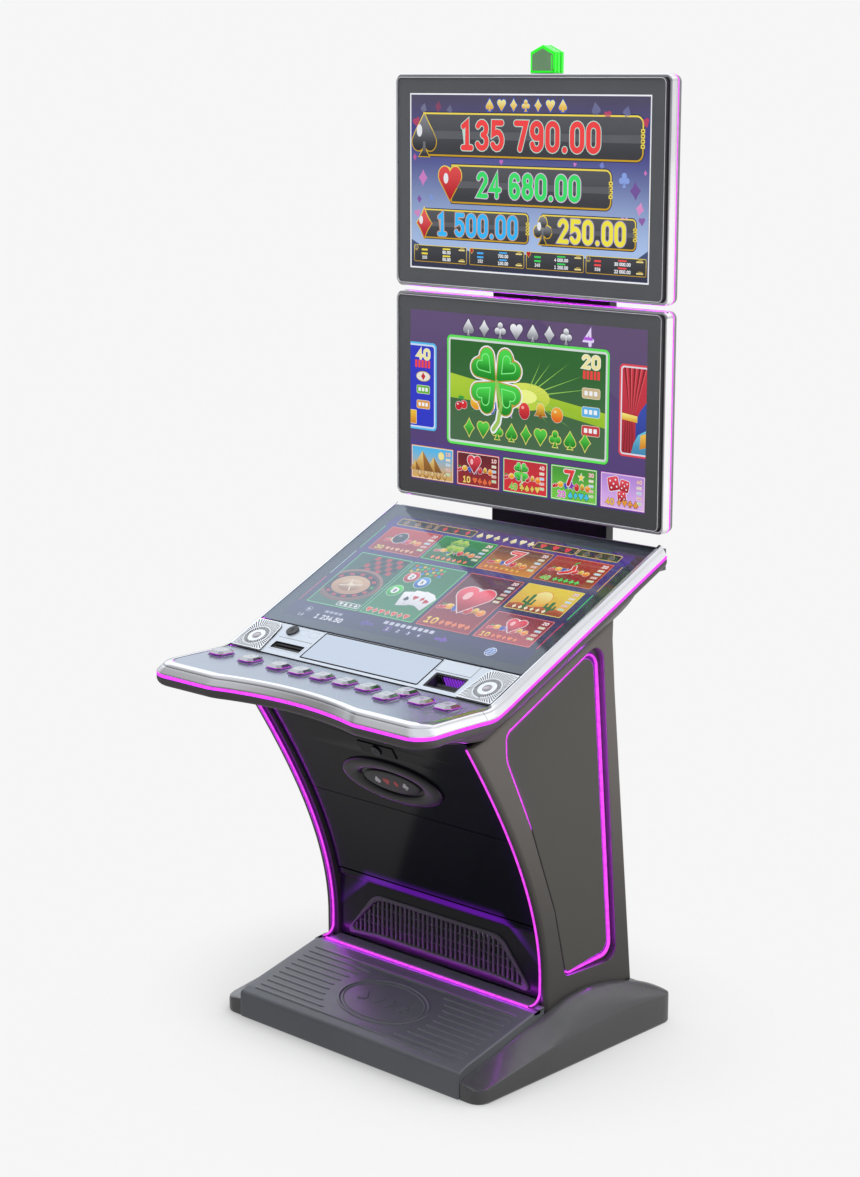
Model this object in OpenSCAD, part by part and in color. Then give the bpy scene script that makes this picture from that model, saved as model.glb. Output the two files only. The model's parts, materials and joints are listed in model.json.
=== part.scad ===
// Slant-top electronic slot machine with two upright monitors on a mast.
// Millimetres, +Z up, the player stands on the -Y side, so +X is the player's right.
// Origin: on the floor, at the centre of the base.

/* [Base] */
// Width of the base across the side wings
base_w = 674; // [664:2:684]
// Height of the ribs on the tread
rib_h = 1.8; // [1:0.2:3]
// Number of short ribs on each side of the tread
rib_count = 9; // [5:1:10]
// Radius of the floor anchor holes
anchor_r = 6; // [4:0.5:8]

/* [Cabinet] */
// Thickness of the cabinet sheet panels
sheet = 6; // [4:0.5:6]
// Number of slots in the kick vent
vent_slots = 36; // [20:1:40]
// Width of the light strips on the cabinet front
led_w = 8; // [5:0.5:8]
// Number of fan blades
fan_blades = 7; // [5:1:9]

/* [Console] */
// Slope of the playing screen from horizontal
slant = 25; // [24:0.5:26]
// Thickness of the screen glass
glass_t = 5; // [3:0.5:6]
// Travel of each push button
button_travel = 2.5; // [1.5:0.25:3]
// Width of a push button across its flats
button_w = 42; // [36:1:44]

/* [Monitors] */
// Width of each monitor glass
mon_w = 656; // [640:2:660]
// Height of each monitor glass
mon_h = 392; // [380:2:394]
// Corner radius of the monitor glass
mon_r = 9; // [4:1:12]
// Height of the top beacon lens at its shoulders
beacon_h = 42; // [30:1:60]

/* [Hidden] */
$fn = 48;

// Shared places and sizes; each section adds its own.
body_x = 288;             // half width of the cabinet
inner_x = 262;            // inside face of the side shells
panel_x = inner_x - 0.5;  // half width of the sheets between the side shells
plinth_z = 88;            // top of the plinth under the cabinet
pin_r = 3;                // hinge pins
bore_r = 3.05;            // bores that turn on the hinge pins
lock_r = 9;               // lock holes
cable_r = 22;             // cable holes in the plinth, shelf and rear wall
cable_y = 150;            // floor cable entry
hinge_y = -33;            // axis of the front door
hinge_z = 240;
lid_y = 6;                // lid axis in the slant frame
lid_z = -14;
mast_y = 285;             // front face of the mast column
mast_cable_z = 728;       // cable passage from the cabinet to the mast
led_pink = [1, 0.3, 1];
chrome = [0.85, 0.86, 0.88];

// ---------- outline helpers ----------
function unit(v) = v / norm(v);
function lerp(a, b, t) = a + (b - a) * t;
function reversed(list) = [for (i = [len(list) - 1:-1:0]) list[i]];
function ellipse(a, b, n = 48) = [for (i = [0:n - 1]) [a * cos(360 * i / n), b * sin(360 * i / n)]];
// points of the arc that rounds the corner at tip, between before and after
function corner_arc(before, tip, after, r, steps = 6) =
    let (
        to_before = unit(before - tip),
        to_after = unit(after - tip),
        angle = acos(max(-1, min(1, to_before * to_after))),
        cut = r / tan(angle / 2),
        start = tip + to_before * cut,
        end = tip + to_after * cut,
        centre = tip + unit(to_before + to_after) * (r / sin(angle / 2))
    )
    [for (i = [0:steps])
        centre + r * unit((start - centre) * (1 - i / steps) + (end - centre) * (i / steps))];
// outline with one corner radius per point; 0 keeps the corner sharp
function rounded(points, radii, steps = 6) =
    let (n = len(points))
    [for (i = [0:n - 1]) each (radii[i] > 0
        ? corner_arc(points[(i + n - 1) % n], points[i], points[(i + 1) % n], radii[i], steps)
        : [points[i]])];
function bezier(p, t) = pow(1 - t, 3) * p[0] + 3 * pow(1 - t, 2) * t * p[1]
    + 3 * (1 - t) * t * t * p[2] + pow(t, 3) * p[3];
function bezier_run(p, steps, t0, t1, shift) =
    [for (i = [0:steps]) bezier(p, t0 + (t1 - t0) * i / steps) + shift];

// ---------- solid helpers ----------
module box(at, size) translate(at) cube(size);
// cylinders from a point: towards +x, towards -y and towards +z
module x_rod(at, r, h) translate(at) rotate([0, 90, 0]) cylinder(r = r, h = h);
module y_rod(at, r, h) translate(at) rotate([90, 0, 0]) cylinder(r = r, h = h);
module z_rod(at, r, h) translate(at) cylinder(r = r, h = h);
module oval_plate(z, h, half_w, half_h)
    translate([0, 0, z]) linear_extrude(h) polygon(ellipse(half_w, half_h));
// extrudes a (y, z) outline along x
module along_x(x0, x1) translate([x0, 0, 0]) rotate([90, 0, 90]) linear_extrude(x1 - x0) children();
module across(half_w) along_x(-half_w, half_w) children();
// plate drawn in front view, from y0 back by thick
module upright(y0, thick)
    translate([0, y0 + thick, 0]) rotate([90, 0, 0]) linear_extrude(thick) children();
module both() {
    children();
    mirror([1, 0, 0]) children();
}
module rrect(w, h, r) {
    square([w - 2 * r, h], center = true);
    square([w, h - 2 * r], center = true);
    for (x = [-1, 1], y = [-1, 1]) translate([x * (w / 2 - r), y * (h / 2 - r)]) circle(r);
}
// closed solid through rings of equal point count; fan splits its flat ends into triangles
module loft(rings, fan = false) {
    n = len(rings[0]);
    last = (len(rings) - 1) * n;
    polyhedron(
        points = [for (ring = rings) each ring],
        faces = concat(
            fan ? [for (i = [1:n - 2]) [0, i, i + 1]] : [[for (i = [0:n - 1]) i]],
            fan ? [for (i = [1:n - 2]) [last, last + i + 1, last + i]]
                : [[for (i = [n - 1:-1:0]) last + i]],
            [for (j = [0:len(rings) - 2], i = [0:n - 1])
                let (k = (i + 1) % n, a = j * n, b = a + n)
                each [[a + i, b + i, b + k], [a + i, b + k, a + k]]]));
}

// ---------- frames ----------
glass_y = 203;    // top edge of the screen glass
glass_z = 938.1;
// sloped screen: +y up the slope, +z out of the glass
module on_slant() translate([0, glass_y, glass_z]) rotate([slant, 0, 0]) children();
// leaning back of the cabinet: +y out of the back, +z up along it
module on_back() translate([0, 208, 100]) rotate([6.05, 0, 0]) children();
// emblem: +z out of the cabinet front
module on_emblem() translate([0, -142.65, 506.06]) rotate([90 + 29.6, 0, 0]) children();
// lock hatch above the emblem: +y into the cabinet
module on_hatch() translate([0, -181, 577]) rotate([31, 0, 0]) children();

// ---------- base ----------
base_y = 278;       // half depth of the base
wing_root = 288.6;  // inner edge of the side wings
anchor_x = 200;
anchor_y = [0, 170];

// control points (y, z) of the outer top edge of a wing
wing_curve = [[-base_y, 25], [-60, 56], [60, 84], [base_y, 56]];
// curve parameter at y, by halving
function wing_param(y, low = 0, high = 1, steps = 20) =
    let (middle = (low + high) / 2)
    steps == 0 ? middle
        : bezier(wing_curve, middle)[0] < y ? wing_param(y, middle, high, steps - 1)
        : wing_param(y, low, middle, steps - 1);
function wing_outer_z(y) = bezier(wing_curve, wing_param(y))[1];
function wing_inner_z(y) =
    y < -60 ? 34 + (y + base_y) * 0.2615
        : y < 56 ? 91 + 23 * sin(90 * (y + 60) / 116)
        : 56 + 58 * pow(max(0, cos(90 * (y - 56) / 223)), 0.8);
// outer side of a wing, with its corners rounded in plan
function wing_outer_x(y) =
    let (r = 26, d = min(y + base_y, base_y - y))
    base_w / 2 - (d < r ? r - sqrt(max(0, r * r - (r - d) * (r - d))) : 0);
// smooth change from a straight wing top at the front to a domed one at the rear
function wing_dome(y) =
    let (k = max(0, min(1, (y + 125) / 115)))
    k * k * (3 - 2 * k);
wing_rows = concat([-base_y, -276.5, -272, -265, -254],
    [for (i = [0:24]) -244 + i * 20.3], [256, 265, 272, 276.5, base_y]);
function wing_top_point(y, u) =
    let (
        side_x = wing_outer_x(y),
        outer_z = wing_outer_z(y),
        dome = wing_dome(y),
        rise = (1 - dome) * (1 - u) + dome * pow(cos(90 * u), 0.9)
    )
    [lerp(wing_root, side_x - 0.8, u), y,
        outer_z + (wing_inner_z(y) - outer_z) * rise + 0.6 * sin(180 * u)];
module wing_solid()
    loft([for (y = reversed(wing_rows))
        let (side_x = wing_outer_x(y))
        concat(
            [[wing_root, y, 0], [side_x - 2, y, 0], [side_x, y, 3], [side_x, y, wing_outer_z(y) - 3]],
            [for (i = [8:-1:0]) wing_top_point(y, i / 8)])], true);

module anchor_holes(z) both() for (y = anchor_y) z_rod([anchor_x, y, z], anchor_r, 20);
module plinth_body() difference() {
    union() {
        both() wing_solid();
        across(wing_root) polygon([[-30.5, 0], [-30.5, plinth_z], [212, plinth_z], [224, 78],
            [262, 62], [base_y, 56], [base_y, 0]]);
    }
    // hollows on both sides of the centre web
    both() along_x(6, 282)
        polygon([[-24, -1], [-24, 80], [206, 80], [218, 70], [260, 54], [272, 48], [272, -1]]);
    // hollows under the wings
    both() along_x(294, base_w / 2 - 7)
        polygon([[-240, -1], [-240, 20], [-120, 36], [0, 52], [120, 58], [240, 46], [240, -1]]);
    z_rod([0, cable_y, -1], cable_r, 100);
    anchor_holes(79);
}
// sleeve round the floor cable entry
module cable_boss() difference() {
    z_rod([0, cable_y, 0], 27, plinth_z - 1);
    z_rod([0, cable_y, -1], cable_r, 100);
}
module base_plinth() color([0.24, 0.24, 0.25]) {
    plinth_body();
    cable_boss();
}

tread_front = [-262, 58.5];  // (y, z) ends of the tread slope
tread_rear = [-72, 105];
tread_slope = (tread_rear[1] - tread_front[1]) / (tread_rear[0] - tread_front[0]);
function tread_z(y) = tread_front[1] + (y - tread_front[0]) * tread_slope;
rib_end = 266;               // outer end of the ribs
rib_rear_y = -101;           // rearmost and foremost full-width ribs
rib_front_y = -263;
oval_y = -181;               // centre of the tread oval
module rib(x0, y) x_rod([x0, y, tread_z(y)], rib_h + 1.2, rib_end - x0, $fn = 24);
module tread_ribs() {
    for (y = [rib_rear_y, rib_front_y]) rib(-rib_end, y);
    // short ribs stop clear of the oval
    for (i = [0:rib_count - 1]) {
        y = rib_rear_y + (rib_front_y - rib_rear_y) * (i + 1) / (rib_count + 1);
        both() rib(34 + 98 * sqrt(max(0.16, 1 - pow((y - oval_y) / 84, 2))), y);
    }
}
// oval rings round a blank field
module tread_ovals() translate([4, oval_y, tread_z(oval_y)]) rotate([13.75, 0, 0]) {
    difference() {
        oval_plate(-3, 5, 106, 63);
        oval_plate(0, 9, 102, 59);
    }
    difference() {
        oval_plate(-3, 4, 97, 54);
        oval_plate(-1.2, 9, 94.5, 51.5);
    }
}
module tread_cover() color([0.33, 0.35, 0.38]) difference() {
    union() {
        difference() {
            across(287.8) polygon(rounded([[-281, 0], [-281, 50], tread_front, tread_rear,
                [-46.5, 108], [-46.5, 0]], [0, 10, 24, 0, 0, 0]));
            across(281)
                polygon([[-275, -1], [-275, 44], [-260, 52], [-74, 98], [-52, 101], [-52, -1]]);
        }
        // flange back to the kick panel
        across(panel_x) polygon([[-53, 101], [-53, 107.2], [-31, 109.5], [-31, 90],
            [-36, 90], [-36, 103]]);
        tread_ribs();
        tread_ovals();
    }
    // groove for the light strip
    box([-275, -72, 103.6], [550, 8, 20]);
    both() box([265.6, -72, 103.6], [9.4, 30, 20]);
}

// ---------- cabinet sides ----------
recess_x = 273.5;  // floor of the recess in each side
// control points (y, z) of the cabinet's front line
front_curve = [[-41, 150], [-41, 300], [-140, 480], [-252, 648]];
// strip along the front line, between two shifts in y
function front_band(near, far, t0, t1, steps = 14) = concat(
    bezier_run(front_curve, steps, t0, t1, [near, 0]),
    reversed(bezier_run(front_curve, steps, t0, t1, [far, 0])));
// underside of the console as a height over y
function tub_z(y) = y < -214 ? 650 : 650 + (y + 214) * 0.4515;
function side_outline(inset) = concat(
    [[-45 + inset, plinth_z + inset / 2]],
    bezier_run(front_curve, 16, 0, 0.985, [-4 + inset, 0]),
    [[-214, 649.6 - inset], [140 - inset, tub_z(140 - inset) - 0.4 - inset], [139 - inset, 770],
        [147 - inset, 675], [208 - inset, 100], [209 - inset, plinth_z + inset / 2]]);
// recess of the side panel; the rear edge has its own inset
function recess_outline(inset, rear) = rounded(
    [[11 + inset, 150 + inset], [-22 + inset, 285], [-91 + inset, 462], [-158 + inset, 600],
        [-160 + inset, 650 - inset], [105 - rear, 776 - inset - rear * 0.477],
        [160 - rear, 146 + rear]],
    [14, 120, 200, 60, 20, 26, 24], 5);

module side_shell() color([0.42, 0.40, 0.39]) {
    difference() {
        union() {
            along_x(276, body_x) polygon(side_outline(0));
            along_x(inner_x, 276.01) polygon(side_outline(8));
        }
        along_x(recess_x, body_x + 1) polygon(recess_outline(0, 0));
        // hollow of the inside face
        along_x(inner_x - 1, 269.5) polygon(concat([[-22, 112]],
            bezier_run(front_curve, 12, 0.05, 0.88, [24, 0]),
            [[-150, 630], [90, 735], [118, 735], [178, 112]]));
        // seat of the front door pin
        x_rod([inner_x - 1, hinge_y, hinge_z], pin_r, 9);
    }
    // lug round the front door pin
    difference() {
        x_rod([inner_x, hinge_y, hinge_z], 9, 8);
        x_rod([inner_x - 1, hinge_y, hinge_z], pin_r, 12);
    }
}
module side_shell_right() side_shell();
module side_shell_left() mirror([1, 0, 0]) side_shell();
module side_panels() color([0.36, 0.36, 0.33]) both()
    along_x(recess_x, 285) polygon(recess_outline(4, 24));
module side_leds() color([1, 0.2, 1]) both() difference() {
    along_x(recess_x, 281) polygon(recess_outline(0.8, 11));
    along_x(270, 290) polygon(recess_outline(4, 24));
}

// ---------- cabinet front ----------
front_led_x = 274.4;  // outer edge of the front light strips
panel_inset = 12;     // front panels behind the front line
door_x = 260.5;       // half width of the front door

module front_led() color(led_pink) {
    both() along_x(front_led_x - led_w, front_led_x) polygon(concat(
        front_band(-3, 3, 0, 0.975),
        corner_arc([-38, 150], [-38, 106], [-64, 106], 22, 5),
        [[-67, 106], [-67, 110]],
        reversed(corner_arc([-44, 150], [-44, 110], [-70, 110], 18, 5))));
    box([-front_led_x, -71.6, 104], [2 * front_led_x, 7.2, 6]);
}
module upper_front_panel() color([0.10, 0.11, 0.13]) difference() {
    union() {
        across(panel_x) polygon(front_band(panel_inset, panel_inset + sheet, 0.5805, 0.985));
        // lock hatch above the emblem
        on_hatch() box([-45, -13.5, -12], [90, 12, 26]);
    }
    on_emblem() oval_plate(-40, 80, 118.3, 44.3);
    on_hatch() y_rod([0, 30, 0], lock_r, 60);
}
module front_emblem() color([0.16, 0.17, 0.19]) on_emblem() {
    difference() {
        union() {
            oval_plate(-8, 24, 118, 44);
            oval_plate(8.6, 7.4, 126, 52);
        }
        oval_plate(8, 26, 80, 31);
        oval_plate(-10, 12, 108, 37);
    }
    oval_plate(7.5, 5, 72, 25);
}
module front_door() color([0.09, 0.10, 0.12]) difference() {
    union() {
        across(door_x) polygon(concat([[hinge_y - 5, hinge_z]],
            front_band(panel_inset, panel_inset + sheet, 0.21, 0.578, 12),
            [[hinge_y + 3, hinge_z]]));
        x_rod([-door_x, hinge_y, hinge_z], 5.5, 2 * door_x);
    }
    both() x_rod([230, hinge_y, hinge_z], bore_r, 32);
}
module key_slot(y) box([-1, y, -4], [2, 8, 8]);
module front_lock() color([0.7, 0.7, 0.72]) on_hatch() difference() {
    union() {
        y_rod([0, 14, 0], lock_r - 0.05, 28.4);
        y_rod([0, -14.2, 0], 11, 2.4);
        // cam
        box([-6, 14, -6], [12, 3, 34]);
    }
    key_slot(-18);
}

vent_z = 166;  // height the vent outline is scaled about
vent_outline = rounded(
    [[-246, 116], [-166, 212], [166, 212], [246, 116], [156, 124], [-156, 124]],
    [8, 46, 46, 8, 90, 90]);
module vent_shape(scale_x, scale_z, z = vent_z)
    polygon([for (p = vent_outline) [p[0] * scale_x, z + (p[1] - vent_z) * scale_z]]);
module kick_panel() color([0.12, 0.12, 0.14]) difference() {
    upright(-30, sheet)
        polygon([[-panel_x, 111], [-panel_x, 233.5], [panel_x, 233.5], [panel_x, 111]]);
    upright(-40, 30) vent_shape(0.975, 0.93);
}
module vent_grille() color([0.2, 0.2, 0.22]) difference() {
    union() {
        upright(-35, 4.8) polygon(vent_outline);
        upright(-35, 12) vent_shape(0.97, 0.92);
    }
    // opening, less the bars that stay in it
    difference() {
        upright(-40, 30) vent_shape(0.94, 0.80, 167);
        for (i = [0:vent_slots]) box([-230 + 460 * i / vent_slots - 3, -31, 100], [6, 7, 130]);
        for (z = [152, 186]) box([-240, -29, z - 1.5], [480, 4, 3]);
    }
}

// ---------- cabinet back ----------
// x, y and heights are in the frame of the leaning back
rear_hinge_x = -205;
rear_hinge_y = -1;
knuckle_l = 24;
lug_z = [62, 400];          // hinge lugs of the wall
knuckle_z = [86.4, 375.6];  // knuckles of the door
rear_pin_l = 48.4;          // each pin spans a lug and a knuckle
rear_lock_x = 170;
rear_lock_z = 240;
fan_y = -12.4;              // rear face of the fan frame
fan_z = 512;                // fan axis

module mast_bolt_holes() both() for (z = [690, 765]) y_rod([95, 175, z], 4.5, 60);
module rear_rod(z, r, h) z_rod([rear_hinge_x, rear_hinge_y, z], r, h);
module rear_sheet() on_back() difference() {
    union() {
        box([-panel_x, -12, -8], [2 * panel_x, sheet, 706]);
        for (z = lug_z) {
            rear_rod(z, 5, knuckle_l);
            box([-210, -7, z], [10, 6, knuckle_l]);
        }
    }
    box([-188, -20, 42], [376, 30, 400]);
    for (z = lug_z) rear_rod(z - 1, pin_r, knuckle_l + 2);
    y_rod([0, 10, fan_z], 54, 40);
}
module rear_wall() color([0.3, 0.3, 0.31]) difference() {
    rear_sheet();
    mast_bolt_holes();
    y_rod([0, 175, mast_cable_z], cable_r, 60);
}
module rear_door() color([0.28, 0.28, 0.29]) on_back() difference() {
    union() {
        box([-196, -5.5, 34], [392, 3, 416]);
        for (z = knuckle_z) {
            rear_rod(z, 5, knuckle_l);
            box([rear_hinge_x, -5.5, z], [14, 3, knuckle_l]);
        }
    }
    for (z = [85, 374]) rear_rod(z, bore_r, 27);
    y_rod([rear_lock_x, 20, rear_lock_z], lock_r, 40);
    // two columns of slots
    for (i = [0:11], j = [0, 1]) box([-110 + j * 120, -20, 300 + i * 9], [100, 30, 4]);
}
module rear_lock() color([0.75, 0.75, 0.77]) on_back() translate([rear_lock_x, 0, rear_lock_z]) {
    difference() {
        union() {
            y_rod([0, 0, 0], lock_r - 0.05, 16);
            y_rod([0, 0, 0], 11, 2);
        }
        key_slot(-6);
    }
    // cam, hanging down
    box([-6, -19, -28], [12, 3, 34]);
}
module fan_frame() color([0.1, 0.1, 0.11]) on_back() translate([0, fan_y, fan_z]) difference() {
    box([-60, -25, -60], [120, 25, 120]);
    // air passage, less the hub seat and its four struts
    translate([0, 10, 0]) rotate([90, 0, 0]) difference() {
        cylinder(r = 57, h = 50);
        z_rod([0, 0, 28], 20, 8);
        for (k = [0:3]) rotate([0, 0, 45 + 90 * k]) box([0, -3, 30], [70, 6, 5]);
    }
    // spindle seat
    y_rod([0, 10, 0], 2, 50);
}
module fan_rotor() color([0.16, 0.16, 0.17])
    on_back() translate([0, fan_y, fan_z]) rotate([90, 0, 0]) {
        z_rod([0, 0, 2], 20, 15);
        z_rod([0, 0, 16], 1.95, 8);
        for (k = [0:fan_blades - 1]) rotate([0, 0, 360 * k / fan_blades])
            translate([17, 0, 9.5]) rotate([32, 0, 0]) box([0, -8, -1], [36, 16, 2]);
    }
// pins of the front door, the rear door and the lid
module hinge_pins() color([0.8, 0.8, 0.82]) {
    both() x_rod([232, hinge_y, hinge_z], pin_r, 38);
    on_back() for (z = [lug_z[0], knuckle_z[1]]) rear_rod(z, pin_r, rear_pin_l);
    on_slant() both() x_rod([196, lid_y, lid_z], pin_r, 44);
}

// ---------- inside the cabinet ----------
shelf_t = 3;
shelf_x = 255;                    // half width of the shelves
upper_shelf_z = 420;
floor_top = plinth_z + shelf_t;   // top of the lower shelf

module inner_shelf() color([0.5, 0.5, 0.52]) difference() {
    union() {
        box([-shelf_x, -22, plinth_z], [2 * shelf_x, 205, shelf_t]);
        box([-shelf_x, -22, upper_shelf_z], [2 * shelf_x, 160, shelf_t]);
        both() box([240, 20, plinth_z], [3, 100, 335]);
    }
    anchor_holes(80);
    z_rod([0, cable_y, 80], cable_r, 20);
    box([-60, 90, 410], [120, 30, 20]);
}
module logic_box() color([0.55, 0.56, 0.58]) difference() {
    at = [-170, -15, upper_shelf_z + shelf_t];
    size = [340, 140, 92];
    wall = 3 * [1, 1, 1];
    box(at, size);
    box(at + wall, size - 2 * wall);
    for (i = [0:9]) box([-140 + i * 28, 50, 505], [14, 50, 20]);
}
module power_supply() color([0.6, 0.6, 0.6]) difference() {
    box([-220, 40, floor_top], [160, 110, 86]);
    for (i = [0:7]) box([-205 + i * 17, 60, 170], [9, 70, 20]);
}
module bill_validator() color([0.15, 0.15, 0.17]) difference() {
    union() {
        box([160, -222, 656], [80, 92, 26]);
        box([165, -150, 540], [70, 80, 120]);
        on_slant() box([165, -488, -62], [70, 34, 34]);
    }
    on_slant() box([172, -478, -60], [56, 10, 40]);
}
// open-topped box with a notch in the front wall
module cash_box() color([0.35, 0.36, 0.38]) difference() {
    box([150, 20, floor_top], [84, 130, 230]);
    box([155, 25, floor_top + 5], [74, 120, 222]);
    box([180, 19, 280], [30, 10, 16]);
}

// ---------- console ----------
deck_z = 725;                                 // top of the button deck
rim_x = 350;                                  // widest line of the console rim
rim_y = -438;                                 // front line of the console rim
rim_r = 40;                                   // outer corner radius
rim_corner = [rim_x - rim_r, rim_y + rim_r];  // centre of the outer corner arc
deck_corner = [293, -382];                    // centre of the inner corner arc
foot_corner = [248.4, -222];                  // centre of the tub's bottom corner arc
rim_bow = 28;                                 // how far the front bows in, outer and inner
deck_bow = 22;

function bow(x) = max(0, 1 - pow(x / 183, 2));
function slope_z(y) = glass_z + (y - glass_y) * tan(slant);
function led_z(y) = max(709, 922 + (y - 204) * 0.4677);

// Rim stations, each [outer point, inner point]. half_rim runs from the rear of the right
// side to just right of the front centre.
function front_station(x) = [[x, rim_y + rim_bow * bow(x), 706],
    [x * deck_corner[0] / rim_corner[0], -414.3 + deck_bow * bow(x), deck_z]];
half_rim = concat(
    [for (y = [209, 150, 60, -30, -120, -190, -232])
        [[rim_x, y, led_z(y)], [331.3, y, slope_z(y)]]],
    [[[rim_x, -256, 709.5], [331.3, -260, deck_z]]],
    [for (y = [-300, -350]) [[rim_x, y, 709], [325.3, y, deck_z]]],
    [for (i = [0:5])
        let (turn = [cos(18 * i), -sin(18 * i)], outer = rim_corner + rim_r * turn,
            inner = deck_corner + 32.3 * turn)
        [[outer[0], outer[1], 708 - i * 0.4], [inner[0], inner[1], deck_z]]],
    [for (x = [270, 225, 187, 180, 150, 120, 90, 60, 30]) front_station(x)]);
function mirrored(p) = [-p[0], p[1], p[2]];
rim = concat(half_rim, [front_station(0)],
    [for (s = reversed(half_rim)) [mirrored(s[0]), mirrored(s[1])]]);
function out_dir(station) =
    let (span = station[0] - station[1])
    unit([span[0], span[1], 0]);

// (fraction from the inner to the outer point, height)
chrome_section = [[0, -4], [0, 0], [0.12, 3], [0.35, 5.5], [0.62, 6.5], [0.85, 5.5],
    [1, 1.5], [1, 0], [0.85, -1.6], [0.5, -5]];
module chrome_rim() color(chrome)
    loft([for (s = rim) [for (q = chrome_section) s[1] + q[0] * (s[0] - s[1]) + [0, 0, q[1]]]]);
// strip that hangs from the outer line of the rim; section is (outward, up)
module rim_strip(section)
    loft([for (s = rim) [for (q = section) s[0] + q[0] * out_dir(s) + [0, 0, q[1]]]]);
module console_led() color(led_pink)
    rim_strip([[-9, -3.6], [-1.5, -0.8], [0.4, -2], [0.4, -5.2], [-9, -5.8]]);
module console_lip() color([0.55, 0.55, 0.57])
    rim_strip([[-10, -6.2], [0, -6], [0.6, -12], [-2.5, -20], [-10, -24], [-13, -24],
        [-13, -6.2]]);

// lower end of the tub wall at a rim station
function tub_foot(station) =
    let (
        x = abs(station[0][0]),
        y = station[0][1],
        turn = atan2(rim_corner[1] - y, x - rim_corner[0]),
        p = y >= rim_corner[1]
            ? [foot_corner[0] + rim_r, foot_corner[1] + (y - rim_corner[1]) * 370 / 607]
            : x > rim_corner[0] ? foot_corner + rim_r * [cos(turn), -sin(turn)]
            : [x * foot_corner[0] / rim_corner[0], foot_corner[1] - rim_r]
    )
    [sign(station[0][0]) * p[0], p[1], tub_z(p[1])];
// upper end of the tub wall, behind the lip; its rear stations are drawn together
function tub_top(station) =
    let (y = station[0][1], top_y = y > 150 ? 150 + (y - 150) * 0.25 : y)
    [station[0][0], top_y, led_z(top_y) - 10];
module console_tub() color([0.36, 0.34, 0.35]) difference() {
    union() {
        loft([for (s = rim)
            let (out = out_dir(s), top = tub_top(s), foot = tub_foot(s))
            [top - 17.4 * out, foot - 6 * out, foot, top - 13.4 * out]], true);
        // sloped bottom, flat front bottom and rear wall
        across(288) polygon([[-214, 650], [147.8, 813.3], [147.8, 817.3], [-214, 654]]);
        translate([0, 0, 650]) linear_extrude(4) polygon(rounded(
            [[-288, -214.5], [288, -214.5], [288, -261.7], [-288, -261.7]], [0, 0, 40, 40]));
        across(284) polygon([[143, 814], [148, 814], [161, 882], [156, 882]]);
    }
    // opening into the cabinet
    box([-245, -235, 600], [490, 280, 180]);
}
module rear_bar() color([0.5, 0.5, 0.52]) difference() {
    union() {
        box([-336, 220.5, 896], [672, 4.5, 37]);
        // lid hinge lugs
        on_slant() both() for (x = [196, 234]) hull() {
            x_rod([x, lid_y, lid_z], 5.4, 6, $fn = 32);
            box([x, 4, -28], [6, 8, 6]);
        }
        // shelf that carries the lugs
        box([-336, 190, 893], [672, 35, 4]);
    }
    on_slant() both() x_rod([190, lid_y, lid_z], pin_r, 60);
}

// button centres (x, y), in node order
button_at = [[-288, -311], [-208, -311], [-131, -311], [-74, -311], [-17.5, -311], [40, -311],
    [97, -311], [163, -333], [168, -288.5], [231, -315], [288, -311]];
deck_gap = 0.4;  // clearance round the deck plate
// right half of the deck outline, rear to front centre
deck_edge = concat(
    [[330.6 - deck_gap, -250.8], [330.6 - deck_gap, -259], [325 - deck_gap, -300],
        [325 - deck_gap, -380]],
    [for (i = [0:5]) deck_corner + (32 - deck_gap) * [cos(18 * i), -sin(18 * i)]],
    [for (x = [255, 213, 177, 150, 120, 90, 60, 30, 0])
        [x, -414 + deck_gap + deck_bow * bow(x * rim_corner[0] / deck_corner[0])]]);
module deck_plate() color([0.62, 0.65, 0.70]) difference() {
    translate([0, 0, deck_z - 4]) linear_extrude(4)
        polygon(concat(deck_edge, [for (p = reversed(deck_edge)) [-p[0], p[1]]]));
    for (at = button_at) box([at[0] - 18.5, at[1] - 18.5, deck_z - 10], [37, 37, 20]);
}

// ---------- sloped strip and lid ----------
// places are in the slant frame
strip_end = 500;       // lower end of the strip below the screen
speaker_x = 291;
speaker_y = -457;
key_x = -227;          // key switch
key_y = -428;
glass_l = 407.5;       // length of the screen glass down the slope
glass_half_w = 330.4;

module strip_panel() color([0.78, 0.80, 0.83]) on_slant() difference() {
    box([-330.8, -strip_end, -4], [661.6, strip_end - 411, 4]);
    both() z_rod([speaker_x, speaker_y, -10], 37, 20);
    // slot at the left, key switch hole and note recess
    box([-239, -483, -10], [80, 20, 20]);
    z_rod([key_x, key_y, -10], 10, 20);
    box([162, -490, -10], [78, 41, 20]);
    // shallow groove and two engraved frames at the left
    box([-243, -447, -0.8], [88, 1.2, 2]);
    for (x = [-199, -171]) translate([x - 10, -435, 0]) difference() {
        box([0, 0, -0.6], [20, 16, 2]);
        box([1.2, 1.2, -2], [17.6, 13.6, 4]);
    }
}
module centre_panel() color([0.85, 0.87, 0.9]) on_slant() difference() {
    translate([0, -452.5, 0]) linear_extrude(2) rrect(296, 75, 3);
    translate([0, -452.5, 1.4]) linear_extrude(4) rrect(290, 69, 2);
}
module speaker_grilles() color([0.75, 0.77, 0.8])
    both() on_slant() translate([speaker_x, speaker_y, 0]) difference() {
        union() {
            linear_extrude(2.6) rrect(78, 82, 13);
            z_rod([4, -8, 0], 9, 5);
            z_rod([0, 0, -3], 36.6, 3.1);
        }
        // long and short slots by turns round the off-centre boss
        for (k = [0:31]) translate([4, -8, -5]) rotate([0, 0, k * 11.25])
            box([12, -0.9, 0], [k % 2 == 0 ? 17 : 13, 1.8, 20]);
    }
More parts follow.
